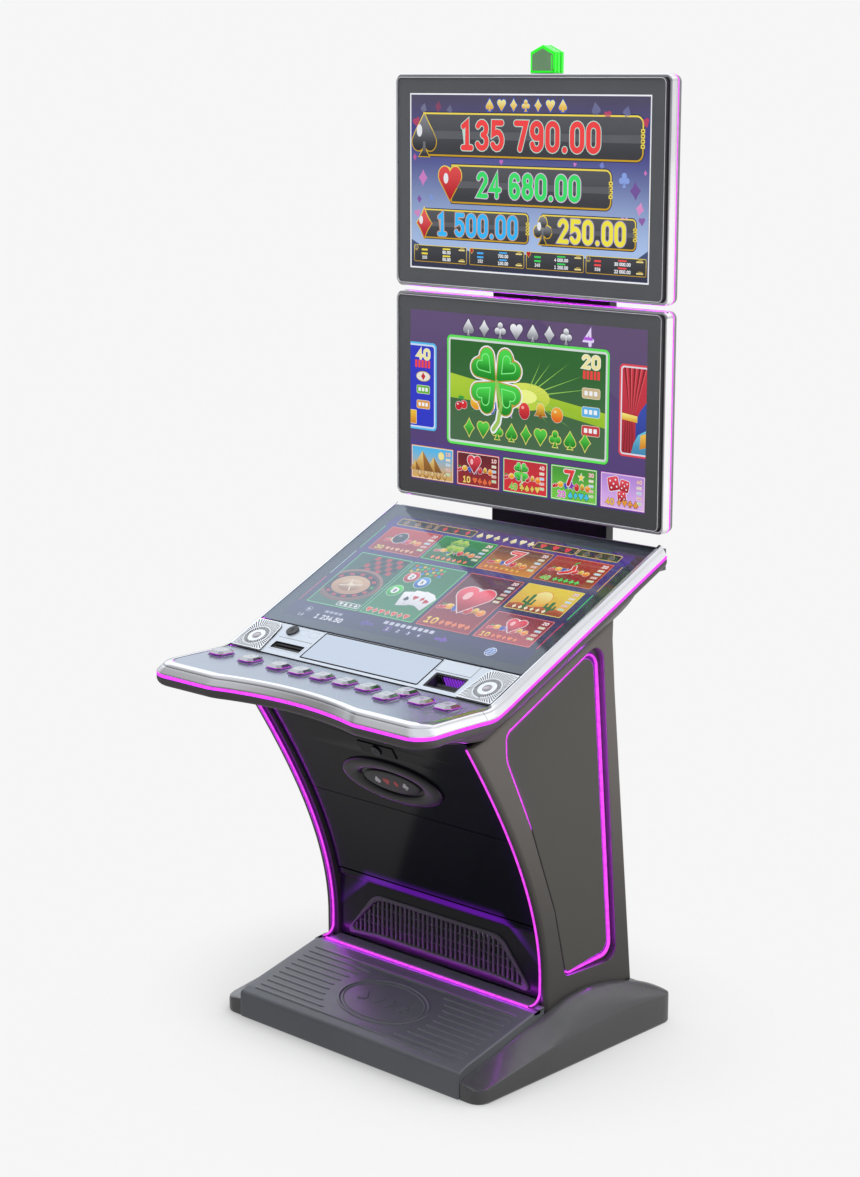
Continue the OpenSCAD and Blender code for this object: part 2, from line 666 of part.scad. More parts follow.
module speakers() color([0.12, 0.12, 0.13])
    both() on_slant() translate([speaker_x, speaker_y, -4.2]) rotate([180, 0, 0])
        // (radius, depth below the grille)
        rotate_extrude() polygon([[0, 9], [11, 9], [31, 2], [33, 0], [36, 0], [36, 4],
            [16, 20], [16, 30], [0, 30]]);
module key_switch() color([0.6, 0.6, 0.62]) on_slant() translate([key_x, key_y, 0]) difference() {
    union() {
        z_rod([0, 0, -26], 9.95, 26.5);
        z_rod([0, 0, 0.4], 13, 3);
    }
    box([-1.2, -6, -2], [2.4, 12, 10]);
}
module note_bezel() color([0.12, 0.1, 0.16]) on_slant() {
    difference() {
        box([162.4, -489.6, -27], [77.2, 40.2, 26.6]);
        box([166, -486, -22], [70, 33, 40]);
        box([176, -478, -40], [50, 6, 40]);
    }
    // ribs on the upper wall
    for (i = [0:9]) box([170 + i * 6.6, -453.5, -22], [2, 3.4, 20]);
}
module screen_glass() color([0.25, 0.26, 0.3]) on_slant()
    translate([0, -glass_l / 2, -glass_t]) linear_extrude(glass_t)
        rrect(glass_half_w * 2, glass_l, 4);
module screen_lcd() color([0.3, 0.2, 0.4]) on_slant()
    translate([-306, -383, -glass_t - 19]) difference() {
        cube([612, 355, 18.9]);
        box([100, 60, -1], [412, 235, 5]);
    }
module lid_frame() color([0.35, 0.35, 0.37]) on_slant() difference() {
    union() {
        box([-326, -403, -glass_t - 17], [652, 400, 16.9]);
        both() x_rod([203, lid_y, lid_z], 5.4, 30);
        both() box([203, -5, lid_z - 5.4], [30, 11, 6]);
    }
    box([-307, -384, -60], [614, 357, 70]);
    both() x_rod([200, lid_y, lid_z], bore_r, 40);
}

// ---------- buttons ----------
// square with its corners cut off by cut
module octagon(width, cut) {
    half = width / 2;
    inner = half - cut;
    polygon([[-inner, -half], [inner, -half], [half, -inner], [half, inner],
        [inner, half], [-inner, half], [-half, inner], [-half, -inner]]);
}
module on_button(i) translate([button_at[i][0], button_at[i][1], deck_z]) children();
module button_cap(i) color([0.8, 0.82, 0.85]) on_button(i) {
    translate([0, 0, -12]) linear_extrude(16.5) square(34, center = true);
    hull() {
        translate([0, 0, 1 + button_travel]) linear_extrude(1.2) octagon(button_w, 9);
        translate([0, 0, 8.8]) linear_extrude(0.9) octagon(button_w * 0.66, 5);
    }
}
module button_01() button_cap(0);
module button_02() button_cap(1);
module button_03() button_cap(2);
module button_04() button_cap(3);
module button_05() button_cap(4);
module button_06() button_cap(5);
module button_07() button_cap(6);
module button_08() button_cap(7);
module button_09() button_cap(8);
module button_10() button_cap(9);
module button_11() button_cap(10);
// light collar and switch box under each cap
module button_lamps() color([1, 0.4, 1])
    for (i = [0:len(button_at) - 1]) on_button(i) difference() {
        union() {
            translate([0, 0, 0.05]) linear_extrude(0.9) octagon(button_w - 1, 9);
            translate([0, 0, -24]) linear_extrude(24.1) square(36.6, center = true);
        }
        translate([0, 0, -20]) linear_extrude(40) square(35, center = true);
    }

// ---------- monitors ----------
mon_y = 205;             // front plane of both monitor glasses
mon_z = [1162.5, 1580];  // centre heights of the monitors

module each_monitor() for (z = mon_z) translate([0, 0, z]) children();
// plate of the glass size plus grow, starting depth behind the glass front
module mon_plate(depth, thick, grow, r)
    upright(mon_y + depth, thick) rrect(mon_w + grow[0], mon_h + grow[1], r);
module taper(depth0, grow0, depth1, grow1, r) hull() {
    mon_plate(depth0, 0.1, [grow0, grow0], r);
    mon_plate(depth1 - 0.1, 0.1, [grow1, grow1], r);
}
module bracket_studs(depth, l) both() for (z = [-50, 50]) y_rod([50, mon_y + depth, z], 2.5, l);

module monitor_glasses() color([0.22, 0.22, 0.24]) each_monitor() mon_plate(0, 4, [0, 0], mon_r);
module monitor_lcds() color([0.3, 0.3, 0.6]) each_monitor()
    upright(mon_y + 4.2, 14) rrect(606, 344, 2);
module monitor_shells() color([0.35, 0.35, 0.37]) each_monitor() difference() {
    union() {
        mon_plate(0.6, 36, [5, 5], mon_r + 2);
        // thin rim behind the light line
        mon_plate(31, 8, [12, 12], mon_r + 4);
        // back, tapering in towards the mast
        taper(38.8, 8, 69, -64, mon_r + 4);
        mon_plate(66, 12, [-90, -70], 20);
        // saddle on top for the beacon
        box([-36, mon_y + 36, mon_h / 2 - 36], [72, 42, 42]);
    }
    // glass seat and screen window
    mon_plate(-5, 9.1, [0.6, 0.6], mon_r);
    upright(mon_y - 5, 24) rrect(607, 345, 2);
    // hollow
    mon_plate(19.5, 20.6, [-16, -16], 6);
    taper(40, -16, 63.5, -72, 6);
    mon_plate(60, 14, [-110, -90], 12);
    // slots above and below the bracket
    for (i = [-9:9], side = [-1, 1])
        box([i * 14 - 3, mon_y + 70, side * 130 - 15], [6, 20, 30]);
    bracket_studs(100, 50);
}
// band round the shell
module mon_band(depth, thick, grow) difference() {
    mon_plate(depth, thick, grow, mon_r + 6);
    mon_plate(0, 60, [5.6, 5.6], mon_r + 2);
}
module monitor_trims() color(chrome) each_monitor() mon_band(7.5, 15.4, [18, 16]);
module monitor_leds() color(led_pink) each_monitor() mon_band(23, 7.9, [17, 15]);
module monitor_brackets() color([0.2, 0.2, 0.21]) each_monitor() {
    difference() {
        box([-80, mon_y + 78.1, -80], [160, mast_y - mon_y - 78.2, 160]);
        bracket_studs(100, 50);
    }
    bracket_studs(79.9, 10);
}

// ---------- mast and beacon ----------
beacon_size = [60, 27];
mast_cable_r = 20;

module mast() color([0.07, 0.07, 0.08]) difference() {
    union() {
        box([-146, mast_y, 650], [292, 20, 1070]);
        // arm to the cabinet back
        across(120) polygon([[141.8, 674], [130.6, 780], [150, 792], [mast_y + 1, 792],
            [mast_y + 1, 674]]);
    }
    box([-143, mast_y + 3, 640], [286, 14, 1090]);
    across(116) polygon([[146, 679], [136, 778], [152, 787], [280, 787], [280, 679]]);
    // cable passage into the cabinet and bolt holes
    y_rod([0, 175, mast_cable_z], mast_cable_r, 60);
    y_rod([0, 300, mast_cable_z], mast_cable_r, 30);
    mast_bolt_holes();
}
// lift is measured from the top edge of the upper monitor glass
module on_beacon(lift) translate([0, 268.5, mon_z[1] + mon_h / 2 + lift]) children();
module beacon_base() color([0.15, 0.15, 0.16]) on_beacon(6.1) {
    linear_extrude(3) rrect(beacon_size[0], beacon_size[1], 3);
    linear_extrude(9) rrect(48, 15, 2);
}
module beacon_lens() color([0.1, 0.9, 0.2]) on_beacon(9.2) difference() {
    hull() {
        linear_extrude(beacon_h - 4) square(beacon_size, center = true);
        translate([0, 0, beacon_h + 9]) cube([0.6, 0.6, 0.4], center = true);
    }
    translate([0, 0, -1]) linear_extrude(beacon_h - 3) square(beacon_size - [8, 8], center = true);
}

base_plinth();
tread_cover();
side_shell_left();
side_shell_right();
side_panels();
side_leds();
front_led();
upper_front_panel();
front_emblem();
front_door();
front_lock();
kick_panel();
vent_grille();
rear_wall();
rear_door();
rear_lock();
fan_frame();
fan_rotor();
hinge_pins();
inner_shelf();
logic_box();
power_supply();
bill_validator();
cash_box();
console_tub();
console_lip();
console_led();
chrome_rim();
rear_bar();
deck_plate();
strip_panel();
centre_panel();
speaker_grilles();
speakers();
key_switch();
note_bezel();
screen_glass();
screen_lcd();
lid_frame();
button_01();
button_02();
button_03();
button_04();
button_05();
button_06();
button_07();
button_08();
button_09();
button_10();
button_11();
button_lamps();
monitor_glasses();
monitor_lcds();
monitor_shells();
monitor_trims();
monitor_leds();
monitor_brackets();
mast();
beacon_base();
beacon_lens();
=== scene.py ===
# Upright gaming cabinet: base with a tread, curved front door, console with a deck of buttons, a
# sloped display under a lid, and two upright displays on the back with a signal light on top.
# x runs across (x = 0 is the middle), the player stands at -y and looks along +y, and z = 0 is
# the floor. Sizes are millimetres until Solid.build; materials, lights and camera are in metres.
import json
import random
from math import (acos, atan, atan2, copysign, cos, degrees, hypot, pi, radians, sin, sqrt, tan)

import bmesh
import bpy
from mathutils import Matrix, Vector
from mathutils.geometry import delaunay_2d_cdt

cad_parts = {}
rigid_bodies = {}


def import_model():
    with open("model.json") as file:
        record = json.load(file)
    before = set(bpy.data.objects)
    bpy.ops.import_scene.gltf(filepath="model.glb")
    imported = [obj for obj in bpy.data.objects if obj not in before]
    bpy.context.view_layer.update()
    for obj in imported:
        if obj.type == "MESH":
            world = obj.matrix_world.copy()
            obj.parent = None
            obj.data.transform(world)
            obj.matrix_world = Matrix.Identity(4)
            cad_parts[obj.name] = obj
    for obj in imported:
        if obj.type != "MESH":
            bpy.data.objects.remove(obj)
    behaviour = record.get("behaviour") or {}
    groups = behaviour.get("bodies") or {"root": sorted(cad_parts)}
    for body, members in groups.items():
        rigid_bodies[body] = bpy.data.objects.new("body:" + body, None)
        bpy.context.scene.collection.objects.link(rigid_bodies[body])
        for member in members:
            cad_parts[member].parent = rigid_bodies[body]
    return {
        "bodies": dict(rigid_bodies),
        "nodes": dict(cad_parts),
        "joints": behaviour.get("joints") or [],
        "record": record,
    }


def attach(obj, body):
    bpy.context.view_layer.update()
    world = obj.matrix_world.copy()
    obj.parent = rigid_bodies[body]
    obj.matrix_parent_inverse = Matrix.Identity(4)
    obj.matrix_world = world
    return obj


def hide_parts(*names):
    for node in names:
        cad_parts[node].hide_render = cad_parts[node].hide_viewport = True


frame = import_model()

random.seed(7)
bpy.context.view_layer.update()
BODY = "cabinet"
scene = bpy.context.scene

# ------------------------------------------------------------------ outlines


def lerp(a, b, t):
    return a + (b - a) * t


def bezier(points, t):
    weights = ((1 - t) ** 3, 3 * (1 - t) ** 2 * t, 3 * (1 - t) * t * t, t ** 3)
    return [sum(weights[i] * points[i][j] for i in range(4)) for j in range(2)]


def rounded(corners, radii, steps=8):
    """Polygon with rounded corners. radii is one radius, or one for each corner."""
    out = []
    count = len(corners)
    for i in range(count):
        corner = Vector(corners[i])
        radius = radii[i] if hasattr(radii, "__len__") else radii
        back = (Vector(corners[i - 1]) - corner).normalized()
        ahead = (Vector(corners[(i + 1) % count]) - corner).normalized()
        angle = acos(max(-1, min(1, back.dot(ahead))))
        if radius <= 0 or angle > pi - 1e-3:
            out.append((corner.x, corner.y))
            continue
        reach = radius / tan(angle / 2)
        start, end = corner + back * reach, corner + ahead * reach
        centre = corner + (back + ahead).normalized() * (radius / sin(angle / 2))
        for k in range(steps + 1):
            spoke = (start - centre) * (1 - k / steps) + (end - centre) * (k / steps)
            point = centre + spoke.normalized() * radius
            out.append((point.x, point.y))
    return out


def rrect(w, h, r, cx=0, cy=0, steps=6):
    """Rectangle w by h about (cx, cy) with corner radius r."""
    x, y = w / 2, h / 2
    corners = [(cx - x, cy - y), (cx + x, cy - y), (cx + x, cy + y), (cx - x, cy + y)]
    return rounded(corners, r, steps)


def ellipse(a, b, cx=0, cy=0, count=72):
    return [(cx + a * cos(2 * pi * i / count), cy + b * sin(2 * pi * i / count))
            for i in range(count)]


def arc(cx, cy, rx, ry, start, end, steps=10):
    """Open arc between two angles in degrees."""
    angles = [radians(lerp(start, end, i / steps)) for i in range(steps + 1)]
    return [(cx + rx * cos(a), cy + ry * sin(a)) for a in angles]


def area(loop):
    return sum(loop[i - 1][0] * loop[i][1] - loop[i][0] * loop[i - 1][1]
               for i in range(len(loop))) / 2


def ccw(loop):
    """The loop in counter-clockwise order."""
    return list(loop) if area(loop) > 0 else list(loop)[::-1]


def offset(loop, distance):
    """Closed loop moved inward by distance, in counter-clockwise order."""
    loop = ccw(loop)
    out = []
    count = len(loop)
    for i in range(count):
        before, point, after = Vector(loop[i - 1]), Vector(loop[i]), Vector(loop[(i + 1) % count])
        u, w = point - before, after - point
        if u.length < 1e-9 or w.length < 1e-9:
            out.append((point.x, point.y))
            continue
        u.normalize()
        w.normalize()
        first = Vector((-u.y, u.x))
        normal = first + Vector((-w.y, w.x))
        normal.normalize()
        k = max(0.35, normal.dot(first))
        out.append((point.x + normal.x * distance / k, point.y + normal.y * distance / k))
    return out


def place(loop, cx, cy, sx, sy=None, turn=0):
    """Loop scaled by sx, sy, turned by degrees and moved to (cx, cy)."""
    sy = sx if sy is None else sy
    c, s = cos(radians(turn)), sin(radians(turn))
    return [(cx + (x * sx * c - y * sy * s), cy + (x * sx * s + y * sy * c)) for x, y in loop]


def resample(path, count):
    """Evenly spaced points along an open path."""
    points = [Vector(p) for p in path]
    run = [0]
    for i in range(1, len(points)):
        run.append(run[-1] + (points[i] - points[i - 1]).length)
    out, j = [], 0
    for k in range(count):
        t = run[-1] * k / (count - 1)
        while j < len(run) - 2 and run[j + 1] < t:
            j += 1
        f = 0 if run[j + 1] == run[j] else (t - run[j]) / (run[j + 1] - run[j])
        point = points[j].lerp(points[j + 1], min(1, max(0, f)))
        out.append((point.x, point.y))
    return out


def normal_at(path, i):
    """Unit normal to the left of a 2-D path at point i."""
    along = Vector(path[min(len(path) - 1, i + 1)]) - Vector(path[max(0, i - 1)])
    along.normalize()
    return Vector((-along.y, along.x))


def quarter(inset, z, rise, steps):
    """Levels (inset, height) of a rounded edge that starts at z."""
    angles = [pi / 2 * k / steps for k in range(steps + 1)]
    return [(inset * (1 - cos(a)), z + rise * sin(a)) for a in angles]


def at_z(loop, z):
    return [(x, y, z) for x, y in loop]


SUITS = ("spade", "heart", "diamond", "club")


def suit(kind, steps=14):
    """Loops of a card suit about (0, 0), about 2 units high."""
    if kind == "diamond":
        loop = []
        tips = [(0, 1.05), (-0.78, 0), (0, -1.05), (0.78, 0)]
        for i in range(4):
            a, b = tips[i], tips[(i + 1) % 4]
            for k in range(6):
                t = k / 6
                pinch = 1 - 0.10 * sin(pi * t)
                loop.append((lerp(a[0], b[0], t) * pinch, lerp(a[1], b[1], t) * pinch))
        return [loop]
    if kind == "heart":
        lobes = (arc(0.45, 0.38, 0.50, 0.50, -32, 154, steps)
                 + arc(-0.45, 0.38, 0.50, 0.50, 26, 212, steps))
        return [lobes + [(-0.42, -0.46), (0, -1.0), (0.42, -0.46)]]
    if kind == "spade":
        lobes = (arc(-0.42, -0.30, 0.44, 0.44, 170, 335, steps)
                 + arc(0.42, -0.30, 0.44, 0.44, 205, 370, steps))
        top = [(0.62, 0.18), (0.28, 0.62), (0, 1.02), (-0.28, 0.62), (-0.62, 0.18)]
        foot = [(0.07, -0.3), (-0.07, -0.3), (-0.12, -0.72), (-0.34, -1.0), (0.34, -1.0),
                (0.12, -0.72)]
        return [lobes + top, foot]
    leaves = [arc(x, y, 0.42, 0.42, 0, 345, steps) for x, y in ((0, 0.50), (-0.46, -0.14),
                                                               (0.46, -0.14))]
    return leaves + [[(0.09, 0.2), (-0.09, 0.2), (-0.12, -0.62), (-0.34, -1.0), (0.34, -1.0),
                      (0.12, -0.62)]]


def inside(point, loop):
    x, y, hit = point[0], point[1], False
    for i in range(len(loop)):
        x1, y1 = loop[i - 1]
        x2, y2 = loop[i]
        if (y1 > y) != (y2 > y) and x < (x2 - x1) * (y - y1) / (y2 - y1) + x1:
            hit = not hit
    return hit


def fill(loops):
    """Triangulate the first loop less the others: points, triangles, source of each point."""
    points = [Vector(p) for loop in loops for p in loop]
    edges, start = [], 0
    for loop in loops:
        edges += [(start + i, start + (i + 1) % len(loop)) for i in range(len(loop))]
        start += len(loop)
    result = delaunay_2d_cdt(points, edges, [], 0, 1e-9)
    triangles = []
    for tri in result[2]:
        centre = sum((result[0][i] for i in tri), Vector((0, 0))) / 3
        if inside(centre, loops[0]) and not any(inside(centre, hole) for hole in loops[1:]):
            triangles.append(list(tri))
    return result[0], triangles, [(o[0] if o else None) for o in result[3]]


# ------------------------------------------------------------------ frames


def frame_at(location=(0, 0, 0), tilt=0):
    """Frame at a place in millimetres, turned about x by degrees."""
    return Matrix.Translation(Vector(location)) @ Matrix.Rotation(radians(tilt), 4, "X")


def front_view(x, y, z):
    """Frame of an upright plate: x across, y up, z towards the player."""
    return frame_at((x, y, z), 90)


UPRIGHT = frame_at()
DECK_Z = 725.0
SLANT_ANGLE = 25
SLANT_Y, SLANT_Z = 203, 938.1     # rear top edge of the sloped console face
SLANT = frame_at((0, SLANT_Y, SLANT_Z), SLANT_ANGLE)
EMBLEM = frame_at((0, -142.65, 506.06), 29.6) @ frame_at(tilt=90)   # x across, y up, z out
SIDE = Matrix(((0, 0, 1, 0), (1, 0, 0, 0), (0, 1, 0, 0), (0, 0, 0, 1)))   # (y, z, x) to (x, y, z)


def side_frame(right):
    return SIDE if right else Matrix.Scale(-1, 4, (1, 0, 0)) @ SIDE


# ------------------------------------------------------------------ mesh builders


def finish_mesh(name, bm, mats, body, replaces, smooth, bevel=0, segments=2,
                bevel_angle=32):
    """Turn a bmesh in metres into a shaded object. bevel is in mm, the angles in degrees."""
    mesh = bpy.data.meshes.new(name)
    bm.to_mesh(mesh)
    bm.free()
    for mat in mats if isinstance(mats, (list, tuple)) else [mats]:
        mesh.materials.append(mat)
    for polygon in mesh.polygons:
        polygon.use_smooth = True
    mesh.set_sharp_from_angle(angle=radians(smooth))
    obj = bpy.data.objects.new(name, mesh)
    scene.collection.objects.link(obj)
    if bevel:
        edge = obj.modifiers.new("edge", "BEVEL")
        edge.width = bevel / 1000
        edge.segments = segments
        edge.limit_method = "ANGLE"
        edge.angle_limit = radians(bevel_angle)
        edge.harden_normals = True
        edge.use_clamp_overlap = True
    else:
        shade = obj.modifiers.new("shade", "WEIGHTED_NORMAL")
        shade.mode = "FACE_AREA"
        shade.weight = 50
        shade.keep_sharp = True
    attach(obj, body)
    if replaces:
        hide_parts(*replaces)


class Solid:
    """Collects shells in millimetres and turns them into one mesh."""

    def __init__(self, frame=UPRIGHT):
        self.frame = frame
        self.verts, self.faces, self.face_mats = [], [], []

    def add(self, verts, faces, mats=0, frame=None):
        frame = frame or self.frame
        start = len(self.verts)
        self.verts += [frame @ Vector(p) for p in verts]
        self.faces += [[start + i for i in face] for face in faces]
        self.face_mats += mats if isinstance(mats, list) else [mats] * len(faces)

    def loft(self, rings, mat=0, frame=None, caps=True, closed=False):
        """Skin through rings of equal length. closed joins the last ring to the first."""
        n, m = len(rings[0]), len(rings)
        faces = []
        for j in range(m if closed else m - 1):
            a, b = j * n, ((j + 1) % m) * n
            for i in range(n):
                k = (i + 1) % n
                faces.append([a + i, a + k, b + k, b + i])
        if caps and not closed:
            faces.append(list(range(n))[::-1])
            faces.append([(m - 1) * n + i for i in range(n)])
        self.add([p for ring in rings for p in ring], faces, mat, frame)

    def across(self, profile, xs, mat=0, frame=None):
        """Profile of (y, z) carried along x."""
        self.loft([[(x, y, z) for y, z in profile] for x in xs], mat, frame)

    def stack(self, outline, levels, mat=0, frame=None, caps=True, closed=False):
        """Skin through copies of an outline at levels of (inset, height)."""
        self.loft([at_z(offset(outline, d), z) for d, z in levels], mat, frame, caps, closed)

    def wall(self, outline, heights, mat=0, frame=None):
        """Open upright wall along an outline."""
        self.stack(outline, [(0, z) for z in heights], mat, frame, caps=False)

    def plate(self, loops, z0, z1, bevel=0.0, steps=3, mat=0, frame=None, wall=None):
        """Plate with an outer loop, then holes; its top edges are rounded by bevel."""
        loops = [ccw(loop) for loop in loops]
        rise = quarter(bevel, z1 - bevel, bevel, steps) if bevel else [(0.0, z1)]
        levels = [(0.0, z0)] + rise
        verts, faces, mats = [], [], []
        bottoms, tops = [], []
        for loop_index, loop in enumerate(loops):
            sign = 1 if loop_index == 0 else -1
            start = len(verts)
            n = len(loop)
            for d, z in levels:
                verts += at_z(offset(loop, sign * d), z)
            for j in range(len(levels) - 1):
                for i in range(n):
                    k = (i + 1) % n
                    a, b = start + j * n, start + (j + 1) * n
                    quad = [a + i, a + k, b + k, b + i]
                    faces.append(quad if loop_index == 0 else quad[::-1])
                    mats.append(mat if wall is None else wall)
            bottoms.append(list(range(start, start + n)))
            tops.append(list(range(start + (len(levels) - 1) * n, start + len(levels) * n)))
        for rims, flip in ((bottoms, True), (tops, False)):
            if len(rims) == 1:
                faces.append(rims[0][::-1] if flip else rims[0])
                mats.append(mat)
                continue
            flat = [i for rim in rims for i in rim]
            _, triangles, source = fill([[tuple(Vector(verts[i][:2])) for i in rim]
                                         for rim in rims])
            for tri in triangles:
                if any(source[i] is None for i in tri):
                    continue
                tri = [flat[source[i]] for i in tri]
                a, b, c = (Vector(verts[i][:2]) for i in tri)
                faces.append(tri if ((b - a).cross(c - a) > 0) != flip else tri[::-1])
                mats.append(mat)
        self.add(verts, faces, mats, frame)

    def sheet(self, loops, z, mat=0, frame=None):
        """Flat faces at height z: outer loop, then holes."""
        loops = [ccw(loop) for loop in loops]
        if len(loops) == 1:
            self.add(at_z(loops[0], z), [list(range(len(loops[0])))], mat, frame)
            return
        points, triangles, _ = fill(loops)
        self.add([(p.x, p.y, z) for p in points], triangles, mat, frame)

    def build(self, name, mats, slot, body=BODY, replaces=(), merge=0.002, smooth=38):
        bm = bmesh.new()
        verts = [bm.verts.new(p * 0.001) for p in self.verts]
        for indices, mat in zip(self.faces, self.face_mats):
            # bmesh refuses a face that is already there or repeats a vertex; those are left out
            try:
                bm.faces.new([verts[i] for i in indices]).material_index = mat
            except ValueError:
                pass
        if merge:
            bmesh.ops.remove_doubles(bm, verts=bm.verts, dist=merge / 1000)
        bmesh.ops.recalc_face_normals(bm, faces=bm.faces)
        finish_mesh(name, bm, mats, body, replaces, smooth)

    def replace(self, node, mats, slot, body=BODY, **options):
        """Build the finished piece that stands in for one CAD node."""
        self.build(node + "_v", mats, slot, body, [node], **options)


def from_cad(node, body, mat, bevel, segments=2, smooth=30, bevel_angle=35):
    """Finished piece made from a CAD node: welded, flat faces merged, edges rounded."""
    source = frame["nodes"][node]
    bm = bmesh.new()
    bm.from_mesh(source.data)
    bm.transform(source.matrix_world)
    bmesh.ops.remove_doubles(bm, verts=bm.verts, dist=2e-6)
    bmesh.ops.dissolve_limit(bm, angle_limit=radians(0.6), verts=bm.verts, edges=bm.edges)
    bmesh.ops.recalc_face_normals(bm, faces=bm.faces)
    finish_mesh(node + "_v", bm, MAT[mat], body, [node], smooth, bevel, segments,
                bevel_angle)


# ------------------------------------------------------------------ shader helpers


class Shader:
    """Node tree of a material or world. Its methods return the output of the node they add."""

    def __init__(self, owner, output="OutputMaterial"):
        owner.use_nodes = True
        self.owner, self.tree = owner, owner.node_tree
        self.tree.nodes.clear()
        self.output = self.tree.nodes.new("ShaderNode" + output)

    def put(self, node, key, value):
        socket = node.inputs[key]
        if isinstance(value, bpy.types.NodeSocket):
            self.tree.links.new(value, socket)
        elif isinstance(value, (tuple, list)) and len(value) == 3 and socket.type == "RGBA":
            socket.default_value = (*value, 1)
        else:
            socket.default_value = value

    def node(self, kind, out=0, props=None, **inputs):
        """Add a node. Inputs go by name with _ for a space, or by place as i0, i1, i2."""
        node = self.tree.nodes.new("ShaderNode" + kind)
        for key, value in (props or {}).items():
            setattr(node, key, value)
        for key, value in inputs.items():
            by_place = key[0] == "i" and key[1:].isdigit()
            self.put(node, int(key[1:]) if by_place else key.replace("_", " "), value)
        return node.outputs[out]

    def coord(self, scale=None):
        place_ = self.node("TexCoord", "Object")
        return self.node("Mapping", Vector=place_, Scale=scale) if scale else place_

    def noise(self, scale, detail, vector):
        return self.node("TexNoise", Vector=vector, Scale=scale, Detail=detail, Roughness=0.5)

    def math(self, operation, a, b=0.0, clamp=False):
        return self.node("Math", props={"operation": operation, "use_clamp": clamp}, i0=a, i1=b)

    def times(self, a, b, clamp=False):
        return self.math("MULTIPLY", a, b, clamp)

    def span(self, value, a, b, c, d, interpolation="LINEAR"):
        """Map a..b to c..d."""
        return self.node("MapRange", props={"interpolation_type": interpolation}, Value=value,
                         From_Min=a, From_Max=b, To_Min=c, To_Max=d)

    def smooth(self, value, a, b, c=0.0, d=1.0):
        return self.span(value, a, b, c, d, "SMOOTHSTEP")

    def axis(self, name, vector):
        return self.node("SeparateXYZ", name, Vector=vector)

    def normal(self):
        return self.node("NewGeometry", "Normal")

    def front_facing(self):
        return self.math("SUBTRACT", 1.0, self.node("NewGeometry", "Backfacing"))

    def mix(self, factor, a, b, kind="MIX"):
        node = self.tree.nodes.new("ShaderNodeMix")
        node.data_type = "RGBA"
        node.blend_type = kind
        for key, value in ((0, factor), (6, a), (7, b)):
            self.put(node, key, value)
        return node.outputs[2]

    def scaled(self, colour, k):
        grey = self.node("CombineColor", Red=k, Green=k, Blue=k)
        return self.mix(1.0, colour, grey, "MULTIPLY")

    def gradient(self, vector, axis, start, start_colour, end, end_colour):
        return self.mix(self.smooth(self.axis(axis, vector), start, end), start_colour, end_colour)

    def ramp(self, factor, *stops):
        """Colour ramp of (position, colour) stops."""
        node = self.tree.nodes.new("ShaderNodeValToRGB")
        elements = node.color_ramp.elements
        while len(elements) > 1:
            elements.remove(elements[-1])
        elements[0].position = stops[0][0]
        elements[0].color = (*stops[0][1], 1)
        for position, colour in stops[1:]:
            elements.new(position).color = (*colour, 1)
        self.put(node, "Fac", factor)
        return node.outputs[0]

    def bump(self, strength, distance, height):
        return self.node("Bump", Strength=strength, Distance=distance, Height=height)

    def emission(self, colour, strength):
        return self.node("Emission", Color=colour, Strength=strength)

    def mix_shader(self, factor, a, b):
        return self.node("MixShader", i0=factor, i1=a, i2=b)

    def edge(self, radius=0.0012, gain=6.0):
        """1 on convex and concave edges, 0 on flat ground."""
        flat = self.normal()
        soft = self.node("Bevel", props={"samples": 3}, Radius=radius)
        dot = self.node("VectorMath", "Value", {"operation": "DOT_PRODUCT"}, i0=flat, i1=soft)
        return self.times(self.math("SUBTRACT", 1.0, dot), gain, True)

    def end(self, shader):
        self.tree.links.new(shader, self.output.inputs[0])
        return self.owner


def new_material(name):
    return Shader(bpy.data.materials.new(name))


def tint(colour, k):
    return tuple(max(0.0, min(1.0, x * k)) for x in colour)


def mirrored_strips(s, p, clouds, strength):
    """Painted reflection of the light strips in the gloss, drawn as emission: a soft line over the
    vent and a wash at both sides.
    """
    x = s.math("ABSOLUTE", s.axis("X", p))
    drop = s.times(s.math("MAXIMUM", s.math("SUBTRACT", x, 0.178), 0.0), 0.80)
    dz = s.math("SUBTRACT", s.axis("Z", p), s.math("SUBTRACT", 0.243, drop))
    above = s.smooth(dz, 0.0, 0.030, 1.0, 0.0)
    below = s.smooth(dz, -0.009, 0.0)
    line = s.times(s.times(s.times(above, above), below), s.smooth(x, 0.150, 0.245, 1.0, 0.16))
    wash = s.smooth(x, 0.205, 0.262, 0.0, 0.20)
    light = s.times(s.math("ADD", line, s.times(wash, wash)),
                    s.span(clouds, 0.3, 0.7, strength * 0.9, strength * 1.1))
    return s.times(light, s.span(s.axis("Y", s.normal()), -0.6, -0.2, 1.0, 0.0))


